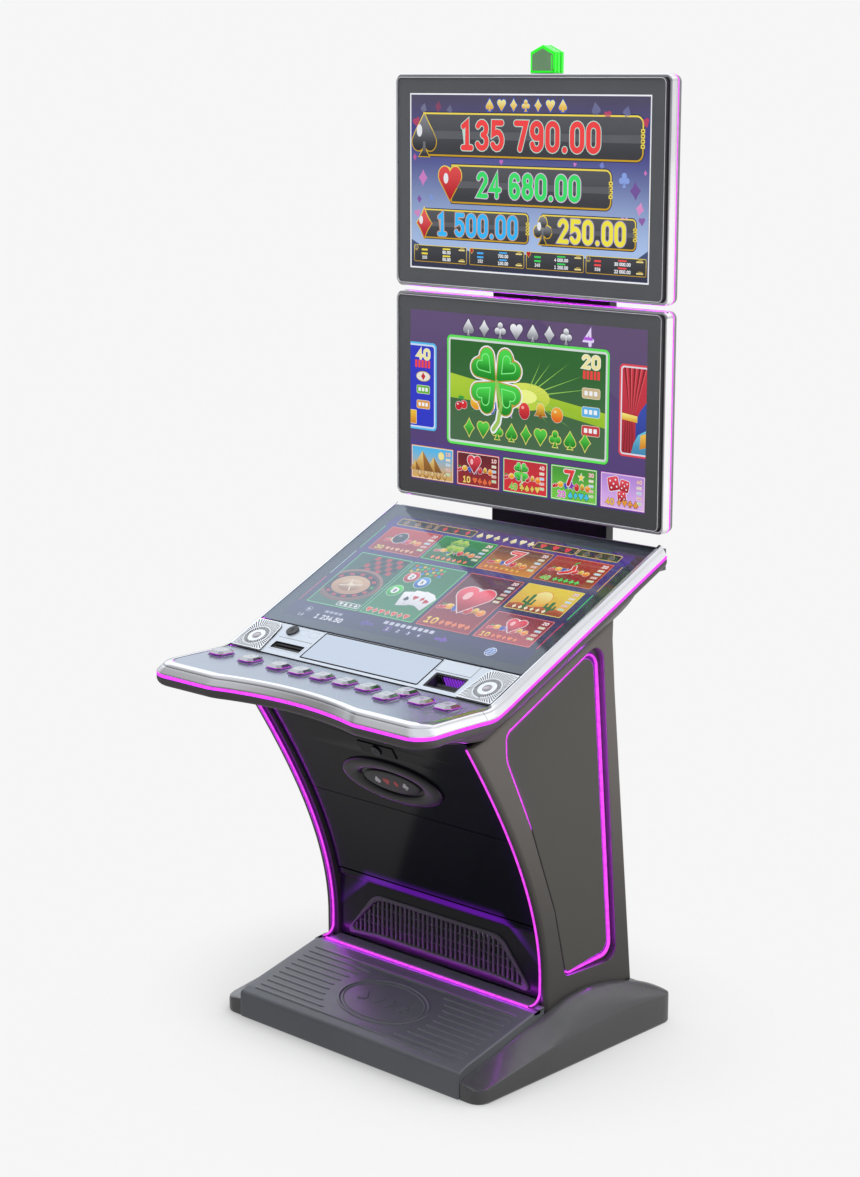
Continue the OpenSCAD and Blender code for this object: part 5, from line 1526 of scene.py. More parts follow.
class Picture:
    """Stack of thin printed layers on a display: x to the right, y up the display.

    level is the layer, col the fill, edge and ew the colour and width of an outline."""

    def __init__(self, frame):
        self.solid, self.frame, self.mats = Solid(frame), frame, []

    def height(self, y):
        return round((self.frame @ Vector((0, y, 0))).z / 1000, 3)

    def poly(self, loops, level, col):
        mat = col
        if isinstance(col, str):
            ys = [p[1] for p in loops[0]]
            mat = ink(col, self.height(min(ys)), self.height(max(ys))) if ">" in col else ink(col)
        clean = []
        for loop in loops:
            kept = [loop[0]]
            for p in loop[1:]:
                if hypot(p[0] - kept[-1][0], p[1] - kept[-1][1]) > 1e-4:
                    kept.append(p)
            if hypot(kept[0][0] - kept[-1][0], kept[0][1] - kept[-1][1]) < 1e-4:
                kept.pop()
            clean.append(kept)
        if len(clean[0]) < 3 or abs(area(clean[0])) < 1e-3:
            return
        if mat not in self.mats:
            self.mats.append(mat)
        self.solid.plate(clean, 0.0, LAYER * (level + 1), mat=self.mats.index(mat))

    def box(self, x0, y0, x1, y1, r, level, col, line=0, line_col=None):
        w, h = x1 - x0, y1 - y0
        cx, cy = (x0 + x1) / 2, (y0 + y1) / 2
        if line:
            self.poly([rrect(w, h, r, cx, cy, 5)], level, line_col)
            self.poly([rrect(w - 2 * line, h - 2 * line, max(0.2, r - line), cx, cy, 5)],
                      level + 1, col)
        else:
            self.poly([rrect(w, h, r, cx, cy, 5)], level, col)

    def box_row(self, count, pitch, x0, y0, x1, y1, *style):
        for k in range(count):
            self.box(x0 + k * pitch, y0, x1 + k * pitch, y1, *style)

    def round(self, cx, cy, rx, ry, count, level, col):
        self.poly([ellipse(rx, ry, cx, cy, count)], level, col)

    def ribbon(self, path, width, level, col, closed=False):
        self.poly(ribbon(path, width, closed), level, col)

    def digits(self, text, cx, cy, h, w, level, col, edge=None, ew=1.0, stroke=0.19, gap=0.22,
               shine=None):
        """Numerals h high and w wide each, centred on (cx, cy)."""
        widths = [NARROW if ch in ". " else 1.0 for ch in text]
        total = 0
        for k in widths:
            total += w * (k + gap)
        x = cx - (total - w * gap) / 2
        sw = stroke * h
        for ch, k in zip(text, widths):
            if ch == ".":
                spot = (x + w * 0.21, cy - h / 2 + sw * 0.55)
                if edge:
                    self.round(*spot, sw * 0.55 + ew, sw * 0.55 + ew, 14, level, edge)
                self.round(*spot, sw * 0.55, sw * 0.55, 14, level + 1, col)
            elif ch != " ":
                for path, closed in GLYPHS[ch]:
                    points = [(x + p[0] * w, cy - h / 2 + sw / 2 + p[1] * (h - sw)) for p in path]
                    if edge:
                        self.ribbon(points, sw + 2 * ew, level, edge, closed)
                    self.ribbon(points, sw, level + 1, col, closed)
                    if shine:
                        self.ribbon(points, sw * 0.34, level + 2, shine, closed)
            x += w * (k + gap)

    def suit(self, kind, cx, cy, r, level, col, edge=None, ew=0.8, shine=None, turn=0, sx=1.0):
        loops = [ccw(place(loop, cx, cy, r * sx, r, turn)) for loop in suit(kind, 8)]
        if edge:
            for loop in loops:
                self.poly([offset(loop, -ew)], level, edge)
        for loop in loops:
            self.poly([loop], level + 1, col)
        if shine:
            self.round(cx - r * 0.34 * sx, cy + r * 0.22, r * 0.20 * sx, r * 0.30, 14, level + 2,
                       shine)

    def suit_row(self, kinds, count, x, pitch, y, r, level, col, edge=None, ew=0.8):
        for j in range(count):
            self.suit(kinds[j % len(kinds)], x + j * pitch, y, r, level, col, edge, ew)

    def ball(self, cx, cy, r, level, col, edge=None, ew=0.7, shine=WHITE, ry=None):
        ry = ry or r
        if edge:
            self.round(cx, cy, r + ew, ry + ew, 20, level, edge)
        self.round(cx, cy, r, ry, 20, level + 1, col)
        if shine:
            self.round(cx - r * 0.3, cy + ry * 0.42, r * 0.26, ry * 0.2, 10, level + 2, shine)

    def star(self, cx, cy, r, level, col, edge, ew, turn=0):
        points = []
        for i in range(10):
            reach, angle = r if i % 2 == 0 else r * 0.42, pi * i / 5 + radians(turn)
            points.append((cx + reach * sin(angle), cy + reach * cos(angle)))
        points = ccw(points)
        self.poly([offset(points, -ew)], level, edge)
        self.poly([points], level + 1, col)

    def fruit_row(self, x0, x1, cy, r, level):
        """Cherries, lemon, grapes, star, plum, bell and orange."""
        xs = [lerp(x0, x1, i / 6) for i in range(7)]
        high = cy + r * 0.25
        x = xs[0]
        self.ball(x - r * 0.4, cy - r * 0.3, r * 0.5, level, "#d01828", WHITE, 0.5)
        self.ball(x + r * 0.4, cy - r * 0.1, r * 0.5, level, "#e02a30", WHITE, 0.5)
        self.round(x, cy + r * 0.7, r * 0.5, r * 0.2, 10, level + 2, "#3aa63a")
        self.ball(xs[1], high, r * 0.95, level, "#ffd23a>#f0a020", WHITE, 0.5, "#fff6c0",
                  r * 0.75)
        for k, (dx, dy) in enumerate(((-.45, .35), (.0, .45), (.45, .3), (-.25, -.05),
                                      (.25, -.05), (0, -.45))):
            self.ball(xs[2] + dx * r, cy + dy * r, r * 0.34, level + (k % 2), "#2a4ab0",
                      "#dfe8ff", 0.3, "#8fb0ff")
        self.star(xs[3], high, r * 1.3, level, "#8a30b8", WHITE, 0.5, 12)
        self.ball(xs[4], cy, r * 0.8, level, "#f04040>#c01828", WHITE, 0.5, "#ffb0a0", r * 0.95)
        x = xs[5]
        bell = ccw([(x + a * r, high + b * r) for a, b in (
            (-.9, -.6), (.9, -.6), (.62, -.2), (.55, .4), (.25, .8), (-.25, .8), (-.55, .4),
            (-.62, -.2))])
        self.poly([offset(bell, -0.5)], level, WHITE)
        self.poly([bell], level + 1, "#ffd84a>#c88018")
        self.ball(x, high - r * 0.65, r * 0.22, level + 1, "#a05a10", shine=None)
        self.ball(xs[6], cy, r * 0.85, level, "#ffb030>#f06a10", WHITE, 0.5, "#ffe0a0")

    def clover(self, cx, cy, r, level, edge=WHITE, inner_edge="#c8a040",
               leaf="#4ce04c>#0f9020", vein="#8cff8c"):
        stem = [(cx + r * 0.02, cy), (cx + r * 0.22, cy - r * 0.7), (cx + r * 0.1, cy - r * 1.25),
                (cx - r * 0.1, cy - r * 1.5)]
        self.ribbon(stem, r * 0.26, level, edge)
        self.ribbon(stem, r * 0.14, level + 2, "#a8d060")
        heart = suit("heart", 8)[0]
        for a in (45, 135, 225, 315):
            c, s = cos(radians(a)), sin(radians(a))
            x, y = cx + r * 0.58 * c, cy + r * 0.58 * s
            outer = ccw(place(heart, x, y, r * 0.56, turn=a - 90))
            self.poly([offset(outer, -r * 0.075)], level, edge)
            self.poly([offset(outer, -r * 0.035)], level + 1, inner_edge)
            self.poly([outer], level + 2, leaf)
            inner = ccw(place(heart, x + r * 0.06 * c, y + r * 0.06 * s + r * 0.03, r * 0.34,
                              turn=a - 90))
            self.poly([inner], level + 3, vein)
            self.poly([offset(inner, r * 0.035)], level + 4, leaf)

    def badges(self, x, y, w, h, count, level, cols=("#d8c090", "#60b8e8", "#d04040", "#70c040")):
        """Column of small plain badges."""
        for i in range(count):
            cy = y - i * h * 1.75
            self.box(x - w / 2, cy - h / 2, x + w / 2, cy + h / 2, h * 0.22, level, "#fff4d8")
            self.box(x - w / 2 + 0.8, cy - h / 2 + 0.8, x + w / 2 - 0.8, cy + h / 2 - 0.8,
                     h * 0.18, level + 1, cols[i % len(cols)])
            self.box_row(3, w * 0.26, x - w * 0.36, cy - h * 0.2, x - w * 0.18, cy + h * 0.22,
                         0.4, level + 2, WHITE)

    def build(self, name, body=BODY):
        self.solid.build(name, self.mats, "display", body, merge=0, smooth=30)


# ------------------------------------------------------------------ upper display: four meters

UPPER_Z, MIDDLE_Z = 1580, 1162.5      # centres of the upright displays
PICTURE_Y = 209.2

upper = Picture(front_view(0, PICTURE_Y, UPPER_Z))
upper.box(-297, -168.2, 297, 168.2, 0.5, 0, WHITE)
upper.poly([rrect(586.8, 328.8, 0.5)], 1, "#4a4560>#3c3c58")
sky_blend = dict(start=1.445, start_colour=linear("#b4cbf0"), end=1.660,
                 end_colour=linear("#4c4a8c"))
upper.poly([rrect(585.6, 327.6, 0.5)], 2,
           lit_ink("upper_sky", None, spread=0.06, scale=5.0, gradient=sky_blend))
upper.poly([[(-292.7, 118), (292.7, 128), (292.7, 163.7), (-292.7, 163.7)]], 3,
           "#565068>#56507c")
upper.poly([[(-292.7, -163.7), (-292.7, -112), (-270, -122), (-240, -128), (240, -128),
             (270, -122), (292.7, -108), (292.7, -163.7)]], 3, "#4a5a80>#33364c")
LOOSE_SUITS = (   # x, y, size, suit, colour
    (-262, 7, 15, "diamond", "#d884c8"), (-272, -34, 8, "diamond", "#8a5aa8"),
    (-277, -62, 8, "heart", "#e090c8"), (-243, -72, 8, "heart", "#a878c8"),
    (236, 17, 14, "club", "#90a8e8"), (262, -2, 16, "diamond", "#7a58a0"),
    (273, -34, 12, "diamond", "#e898d0"), (238, -60, 11, "heart", "#f0a8d8"),
    (278, -56, 8, "heart", "#9868b0"), (-240, -30, 7, "club", "#88a0e0"),
    (-260, 140, 9, "spade", "#7c7c98"), (-222, 142, 11, "diamond", "#8c4a66"),
    (-192, 138, 8, "spade", "#70708c"), (168, 142, 12, "spade", "#73759a"),
    (196, 130, 9, "heart", "#c04870"), (240, 138, 10, "spade", "#70739c"),
    (283, 118, 9, "heart", "#c84468"), (-279, 112, 10, "heart", "#b8486c"),
    (-284, 46, 7, "diamond", "#c060a0"), (-60, 41, 5, "heart", "#d070c8"),
    (120, 41, 4, "heart", "#e080d0"), (184, 42, 6, "spade", "#8090d8"),
    (284, 30, 5, "diamond", "#e080c8"))
draws = random.Random(11)
for cx, cy, r, kind, col in LOOSE_SUITS:
    upper.suit(kind, cx, cy, r, 4, col, turn=draws.uniform(-18, 18))


def meter(corners, r, mark, text, col, edge, text_x, h, w, line=3.2):
    """Framed meter. corners is (x0, y0, x1, y1), mark the suit as (kind, x, y, size, colour)."""
    x0, y0, x1, y1 = corners
    cut = rounded([(x0, y0), (x1, y0), (x1, y1), (x0, y1)], [2, r, r, 2], 7)
    upper.poly([offset(cut, -1.8)], 4, "#2c2c50")
    upper.poly([cut], 5, GOLD)
    upper.poly([offset(cut, line)], 6, "#5a5a5e>#3e3e42")
    low, high = y0 + (y1 - y0) * 0.35, y0 + (y1 - y0) * 0.62
    upper.poly([offset(rounded([(x0, low), (x1, low), (x1, high), (x0, high)], 2, 2), line + 1)],
               7, "#626266")
    kind, mark_x, mark_y, size, mark_col = mark
    upper.suit(kind, mark_x, mark_y, size, 7, mark_col, GOLD, 2.0, "#f6f6f6", sx=0.92)
    upper.digits(text, text_x, (y0 + y1) / 2, h, w, 8, col, edge, 1.7, stroke=0.185, gap=0.24)
    notch = (y1 - y0) * 0.22
    for k in range(4):
        y = (y0 + y1) / 2 + (k - 1.5) * notch * 0.5
        upper.box(x1 - 6.5, y - notch * 0.2, x1 + 2.5, y + notch * 0.2, 1.2, 7, "#ffe45a")
        upper.box(x1 - 4.2, y - notch * 0.08, x1 + 0.2, y + notch * 0.08, 0.5, 8, "#6a5a20")


meter((-262, 49, 279, 131), 16, ("spade", -259, 88, 40, "#8a8a8e>#303034"), "135 790.00",
      "#ff4848", "#c8e8d8", 8, 58, 31)
meter((-188, -39, 207, 34), 14, ("heart", -191, 0, 34, "#f05050>#c01020"), "24 680.00",
      "#3ce86c", "#e8c8e8", 6, 50, 26)
meter((-258, -108, 9, -52), 9, ("diamond", -259, -80, 27, "#f06060>#c01828"), "1 500.00",
      "#38c0ff", "#d8a890", -121, 46, 24, line=2.6)
meter((42, -109, 265, -52), 9, ("club", 44, -80, 27, "#8c8c90>#2c2c30"), "250.00",
      "#fff048", "#b8a8d0", 161, 46, 24, line=2.6)
upper.suit_row(("spade", "heart", "diamond", "club", "diamond", "heart", "spade"), 7, -90, 30,
               146.5, 11.5, 4, "#fff2a0>#f0b840", "#2a64c8", 1.6)
SMALL_METERS = (   # x0, x1, suit, colour, number at the left, two amounts
    (-286, -147, "club", "#ffe84a", "205", "90.00", "50.00"),
    (-140, -1, "diamond", "#48b8ff", "152", "700.00", "100.00"),
    (4, 144, "heart", "#40e060", "245", "4 000.00", "1 200.00"),
    (149, 290, "spade", "#ff5050", "556", "30 000.00", "22 000.00"))
for x0, x1, kind, col, number, high_text, low_text in SMALL_METERS:
    upper.box(x0, -154.5, x1, -122, 3, 4, "#45454a>#38383c", 1.2, GOLD)
    upper.suit(kind, x0 + 6, -127, 5.5, 6,
               "#c02030" if kind in ("diamond", "heart") else "#707074", "#ffd860", 0.6)
    for y in (-131, -138.5):
        upper.box(x0 + 20, y - 1.8, x0 + 36, y + 1.8, 0.8, 6, col)
    upper.digits(number, x0 + 28, -146, 6.2, 3.8, 6, WHITE)
    for y, text in ((-133.5, high_text), (-147, low_text)):
        upper.box(x0 + 76, y + 4.2, x0 + 96, y + 7.2, 0.8, 6, col)
        upper.digits(text, x0 + 86, y - 0.6, 6.6, 3.9, 6, WHITE, stroke=0.22)
    for y in (-128, -149):
        upper.box(x0 + 118, y - 1.4, x0 + 134, y + 1.4, 0.6, 6, "#ffe890")
        upper.box(x0 + 122, y + 2.4, x0 + 132, y + 3.8, 0.4, 6, "#d8b850")
upper.build("upper_picture")

# ------------------------------------------------------------------ middle display
# one large tile, two half tiles, five small tiles

middle = Picture(front_view(0, PICTURE_Y, MIDDLE_Z))
middle.box(-297.5, -169.5, 297.5, 169.5, 0.5, 0, "#604a74>#57407c")
middle.poly([[(-297.5, 169.5), (-297.5, 60), (-120, 140), (30, 169.5)]], 1, "#67527a>#604a78")
middle.poly([[(40, 169.5), (240, 30), (297.5, 10), (297.5, 169.5)]], 1, "#695378>#62507c")
middle.poly([[(-297.5, -169.5), (-297.5, -90), (-60, -96), (297.5, -169.5)]], 1,
            "#54408a>#4c3a78")
middle.suit_row(("spade", "diamond", "club", "heart"), 7, -142, 41, 143.5, 16.5, 2,
                "#ffffff>#8c8c94", "#3c3050", 1.4)
middle.digits("4", 158, 145, 34, 21, 2, "#f4e8ff", "#8a60b0", 1.4, stroke=0.22)
middle.box(147, 140, 168, 146, 1, 6, "#c060e8")


def framed_tile(x0, y0, x1, y1, r, col, frame_col, inner_col, line):
    """Tile with a dark shadow line, a coloured frame and a pale inner frame."""
    middle.box(x0 - 1.2, y0 - 1.2, x1 + 1.2, y1 + 1.2, r + 1.2, 1, "#3a2c4c")
    middle.box(x0, y0, x1, y1, r, 2, frame_col)
    middle.box(x0 + line, y0 + line, x1 - line, y1 - line, max(0.5, r - line), 3, inner_col)
    middle.box(x0 + line * 1.9, y0 + line * 1.9, x1 - line * 1.9, y1 - line * 1.9,
               max(0.4, r - line * 1.7), 4, col)


def half_tile(side, layers):
    """Tile cut off by one side edge. layers is (inner x, y0, y1, radius, colour)."""
    for level, (x, y0, y1, r, col) in enumerate(layers, 2):
        if side < 0:
            corners, radii = [(-297.5, y0), (x, y0), (x, y1), (-297.5, y1)], [0, r, r, 0]
        else:
            corners, radii = [(x, y0), (297.5, y0), (297.5, y1), (x, y1)], [r, 0, 0, r]
        middle.poly([rounded(corners, radii, 6)], level, col)


framed_tile(-198, -87, 209, 126, 11, "#2c6a2c>#4a6e4a", "#66f05c", "#dfe8df", 4.6)
# burst of light behind the clover
middle.poly([[(-189, 52), (-60, 34), (0, 30), (60, 26), (200, 8), (200, -20), (60, 0), (0, 6),
              (-60, 0), (-189, 4)]], 5, "#b8d838>#a0c828")
middle.round(6, 22, 60, 26, 24, 6, "#e8f060>#c8e040")
middle.round(6, 22, 28, 13, 20, 7, "#f8ff90")
for angle, reach in ((20, 150), (34, 130), (48, 95), (62, 80), (-12, 150), (-24, 120),
                     (160, 150), (172, 150), (196, 150), (-40, 70), (10, 180)):
    c, s = cos(radians(angle)), sin(radians(angle))
    reach = min(reach, 92 / max(abs(s), 0.01), (192 if c > 0 else 190) / max(abs(c), 0.01))
    middle.poly([[(6 + 14 * c + 1.5 * s, 22 + 14 * s - 1.5 * c), (6 + reach * c, 22 + reach * s),
                  (6 + 14 * c - 1.5 * s, 22 + 14 * s + 1.5 * c)]], 6, "#98d058")
middle.fruit_row(-160, 84, -6, 17, 7)
middle.clover(-70, 44, 62, 9)
middle.digits("20", 165, 100, 26, 19, 6, "#fff3a8", "#fffbe8", 1.6, stroke=0.22)
middle.box_row(5, 8.6, 146, 68, 152, 84, 1.2, 6, "#ff4848")
middle.badges(166, 42, 44, 20, 3, 6)
middle.suit_row(("diamond", "heart", "club", "spade"), 9, -139, 36.5, -51, 16, 6,
                "#58d848>#1c8a20", "#e8e070", 1.7)
# left half tile
half_tile(-1, ((-226, -68, 105, 9, "#58c8f8"), (-229.5, -64.5, 101.5, 7, "#d8e8ff"),
               (-233, -61, 98, 5, "#3038c8>#2c38d0")))
middle.digits("40", -262, 82, 22, 16, 5, "#fff3a8", "#fffbe8", 1.2, stroke=0.22)
middle.box_row(5, 8.6, -284, 55, -278, 70, 1.0, 5, "#ff4848")
middle.ball(-262, 38, 18, 5, "#f8f4e0", "#c8a040", 1.4, shine=None, ry=9)
middle.suit("diamond", -262, 38, 8, 7, "#d02838")
middle.badges(-262, 12, 36, 17, 2, 5, ("#70c040", "#e8a040"))
middle.box(-297.5, -58, -280, -30, 2, 5, "#ffc83c>#e89020", 1.0, "#fff0c0")
# right half tile: curtain
half_tile(1, ((233, -66, 104, 9, "#f04850"), (236.5, -62.5, 100.5, 7, "#f0e8f0"),
              (239.5, -59.5, 97.5, 5, "#d83848>#b02838")))
middle.poly([[(276, 8), (282, 20), (297.5, 38), (297.5, -59.5), (272, -59.5), (272, 0)]], 5,
            "#3a50b0>#2c3c90")
middle.poly([[(262, -59.5), (268, -40), (278, -24), (297.5, -14), (297.5, -59.5)]], 6,
            "#70c8e0>#4890b8")
middle.poly([[(282, -50), (297.5, -46), (297.5, -20), (284, -24)]], 7, "#ffc850>#e09028")
for k in range(5):
    x = 243 + k * 11.5
    for x0, x1, low1, low0, col in ((x, x + 5, x + 3, x, "#8c1c28"),
                                    (x + 5, x + 7, x + 5, x + 3.6, "#ff6a70")):
        middle.poly([[(x0, 97.5), (x1, 97.5), (lerp(low1, 262, .75), 14),
                      (lerp(low0, 262, .75), 14)]], 5, col)
for k in range(4):
    x = 244 + k * 7
    middle.poly([[(lerp(x, 256, .3), 2), (lerp(x + 3, 256, .3), 2), (x + 2, -59), (x - 1, -59)]],
                5, "#8c1c28")
middle.poly([[(240, 14), (276, 10), (276, -2), (240, 2)]], 6, "#fff080>#e8b030")


def pyramids(cx):
    for dx, h in ((-26, 40), (4, 30), (-46, 20)):
        middle.poly([[(cx + dx - h * .75, -150), (cx + dx + h * .75, -150), (cx + dx, -150 + h)]],
                    5, "#f0d080>#c89040")
        middle.poly([[(cx + dx + h * .1, -150), (cx + dx + h * .75, -150), (cx + dx, -150 + h)]],
                    6, "#b07830>#8c5c28")
    middle.ball(cx + 24, -116, 7, 5, "#fff0a0", "#ffd850", 1, shine=None)


def heart_and_fruit(cx):
    middle.fruit_row(cx - 48, cx + 32, -134, 7, 5)
    middle.suit("heart", cx - 10, -122, 19, 7, "#f04858>#a81020", WHITE, 1.0, "#ffc0c0")


def clover_and_fruit(cx):
    middle.fruit_row(cx - 48, cx + 32, -136, 7, 5)
    middle.clover(cx - 10, -124, 17, 7)


def seven_and_fruit(cx):
    middle.fruit_row(cx - 46, cx + 34, -138, 7.5, 5)
    middle.digits("7", cx - 12, -122, 32, 22, 7, "#f04040>#c01020", WHITE, 1.4, stroke=0.24)
    middle.star(cx + 18, -118, 8, 7, "#ffe060", WHITE, .6)


def dice(cx):
    pips = ((-.5, -.5), (.5, .5), (0, 0), (-.5, .5), (.5, -.5))
    for dx, y, size, turn in ((-18, -120, 26, 14), (8, -122, 22, -10), (2, -142, 20, 8)):
        at = (cx - 4 + dx, y, size / 2)
        die = place(rrect(2, 2, 0.35, steps=3), *at, turn=turn)
        middle.poly([offset(die, -1.0)], 5, WHITE)
        middle.poly([ccw(die)], 6, "#f05060>#b01828")
        for px, py in place(pips, *at, turn=turn):
            middle.round(px, py, size * .075, size * .075, 8, 7, WHITE)


SMALL_TILES = (   # x0, x1, frame, fill, number, drawing
    (-294, -181, "#e8a868", "#58c0f0>#e0b060", "10", pyramids),
    (-171, -60, "#f04850", "#6c2028>#a02830", "10", heart_and_fruit),
    (-50, 62, "#50d850", "#c82c38>#e03038", "40", clover_and_fruit),
    (71, 183, "#60e860", "#48a038>#78d048", "20", seven_and_fruit),
    (192, 297, "#d878f0", "#c090e0>#e8b8f0", "40", dice))
FOOT_INKS = (None,   # number, its edge, suits, their edge, for all but the first tile
             ("#ffe070", "#903018", "#f07040", "#701010"),
             ("#60d050", "#f8f0a0", "#f0d860", "#8c1018"),
             ("#e860d0", "#fff0ff", "#50d0f0", "#185018"),
             ("#ffd060", "#803018", "#f0a040", "#702848"))
for k, (x0, x1, frame_col, fill_col, number, draw) in enumerate(SMALL_TILES):
    framed_tile(x0, -166, x1, -100, 1.5, fill_col, frame_col, "#fff0e0", 1.3)
    cx = (x0 + x1) / 2
    middle.digits(number, x1 - 14, -111, 8, 5.5, 6, "#ffe0d8", "#c04040", 0.5, stroke=0.24)
    middle.badges(x1 - 14, -122, 12, 5.5, 4, 6)
    draw(cx)
    if k == 0:
        middle.suit_row(("diamond", "spade"), 5, cx - 34, 17, -156, 7, 7, "#ffe8b0>#c08030",
                        "#704818", 0.9)
        continue
    number_col, number_edge, suit_col, suit_edge = FOOT_INKS[k]
    middle.digits(number, cx - 30, -154, 13, 8.5, 7, number_col, number_edge, 0.8, stroke=0.22)
    order = ("diamond", "heart", "club", "spade")
    middle.suit_row(order[k % 4:] + order[:k % 4], 4, cx - 8, 13, -154, 6.5, 7, suit_col,
                    suit_edge)
middle.build("middle_picture")

# ------------------------------------------------------------------ sloped display
# y runs from 0 at the rear top edge down to negative values at the player

slope = Picture(SLANT @ Matrix.Translation((0, 0, -5.10)))
RED_PAIR = ("heart", "diamond")
slope.box(-305.5, -382.5, 305.5, -28.5, 0.5, 0, "#4a2a80>#343448")
slope.poly([[(-305.5, -28.5), (-305.5, -64), (305.5, -64), (305.5, -28.5)]], 1,
           "#3a1c70>#44248c")
slope.poly([[(-305.5, -336), (305.5, -336), (305.5, -382.5), (-305.5, -382.5)]], 1,
           "#3c3460>#2e2c48")
for x0, x1, kind, col, edge_col in ((-282, -185, "club", "#8a6a60", "#c09040"),
                                    (-179, -81, "diamond", "#e02830", "#601018"),
                                    (73, 174, "heart", "#e82838", "#601018"),
                                    (179, 278, "spade", "#505058", "#c09040")):
    slope.box(x0 - 1, -57.5, x1 + 1, -36, 4, 2, "#181820", 1.6, "#f0d060")
    slope.suit_row((kind,), 3, x0 + 20, 30, -46.8, 7.5, 4, col, edge_col, 0.9)
slope.suit_row(("spade", "heart", "club", "diamond"), 7, -66, 21.5, -47, 8.5, 3,
               "#fff8d0>#f0e0a0", "#203880", 1.2)


def slope_tile(x0, y0, x1, y1, fill_col, frame_col):
    """Framed tile from y0 (rear) down to y1 with a number and badges at its right."""
    slope.box(x0, y1, x1, y0, 2, 2, fill_col, 1.7, frame_col)
    slope.digits("20", x1 - 15, y0 - 10, 9, 6, 5, "#fff0f0", "#c04848", 0.6, stroke=0.24)
    slope.badges(x1 - 15, y0 - 23, 15, 6.5, 4 if y0 - y1 < 100 else 5, 5)


# first row: black ball, clover, seven, chili
slope_tile(-284, -66, -147, -145, "#c83a30>#a02a28", "#f08870")
slope.fruit_row(-262, -182, -106, 8, 4)
slope.ball(-236, -98, 17, 6, "#38383c>#101014", WHITE, 1.2, "#a0a0a8")
slope.digits("30", -262, -134, 13, 9, 6, "#ffe070", "#601010", 0.9, stroke=0.22)
slope.suit_row(RED_PAIR, 6, -240, 13, -134, 6, 6, "#f8b890", "#701818", 0.7)
slope_tile(-142, -66, -4, -145, "#189028>#0c6018", "#70f060")
slope.fruit_row(-124, -36, -112, 8, 4)
slope.clover(-88, -92, 20, 6, "#f0f0a0", "#c0c040", "#b0e040>#50a020", "#e8ff80")
slope.suit_row(("diamond", "club"), 7, -118, 14, -135, 6, 6, "#ff9050", "#183010")
slope_tile(1, -66, 136, -145, "#70301c>#d88028", "#f0a050")
slope.fruit_row(20, 98, -116, 8, 4)
slope.digits("7", 58, -96, 42, 27, 6, "#e82828", WHITE, 2.0, stroke=0.26, shine="#ff9090")
slope.box_row(7, 13, 14, -140, 23, -129, 1.5, 6, "#ffd050>#f08020", 0.8, "#602008")
slope_tile(143, -66, 280, -145, "#b02818>#901c18", "#f07858")
slope.fruit_row(162, 242, -106, 8, 4)
chili = [(204, -90), (208, -100), (200, -109), (186, -114)]
slope.ribbon(chili, 11, 6, WHITE)
slope.ribbon(chili, 8, 7, "#e82020")
slope.ribbon([(203, -88), (200, -80), (206, -76)], 3.4, 7, "#40b030")
slope.digits("40", 166, -134, 13, 9, 6, "#60d050", "#f0e8a0", 0.9, stroke=0.22)
slope.suit_row(("club",), 5, 190, 13, -134, 6, 6, "#60e060", "#204010")

# wheel tile; shapes are cut off at the sides of the tile
slope.box(-284, -331, -147, -160, 2, 2, "#2a5a44>#3c6c50", 1.7, "#80f0a0")
for i in range(4):
    for j in range(6):
        slope.box(-238 + j * 14.5 - i * 4, -176 - i * 13, -225.5 + j * 14.5 - i * 4,
                  -165 - i * 13, 0.5, 5, ("#c03038", "#20242c")[(i + j) % 2])
WHEEL = (-226, -262)
WHEEL_LEFT, WHEEL_RIGHT = -282.2, -149
for rx, ry, level, col in ((75, 52, 6, "#a88070>#7c5848"), (68, 46, 7, "#5c4038>#8c6858"),
                           (62, 41, 8, "#342c30")):
    slope.poly([[(max(WHEEL_LEFT, min(WHEEL_RIGHT, x)), y)
                 for x, y in ellipse(rx, ry, *WHEEL, 60)]], level, col)
for i in range(26):
    a0, a1 = radians(360 * i / 26), radians(360 * (i + 0.86) / 26)
    pocket = [(WHEEL[0] + r * cos(a), WHEEL[1] + r * 0.66 * sin(a))
              for r, a in ((50, a0), (59, a0), (59, a1), (50, a1))]
    if min(p[0] for p in pocket) > -282 and max(p[0] for p in pocket) < WHEEL_RIGHT:
        slope.poly([pocket], 9, ("#c83840", "#181a20")[i % 2] if i else "#30a050")
slope.poly([[(max(WHEEL_LEFT, x), y) for x, y in ellipse(46, 30, *WHEEL, 40)]], 9,
           "#e0b890>#c89870")
slope.round(*WHEEL, 30, 19, 30, 10, "#f0d0a8>#a87850")
slope.round(*WHEEL, 9, 6, 20, 11, "#fff0d0>#d8b080")
for a in (20, 110, 200, 290):
    slope.ribbon([WHEEL, (WHEEL[0] + 26 * cos(radians(a)), WHEEL[1] + 17 * sin(radians(a)))],
                 2.6, 11, "#fff0d8")
slope.box(-210, -326, -152, -312, 3, 9, "#f0f4f0")
slope.box(-208, -324.4, -154, -313.6, 2.2, 10, "#5c7c68")
slope.suit_row(("heart", "spade", "diamond", "club"), 4, -200, 13, -319, 4.6, 11, WHITE)

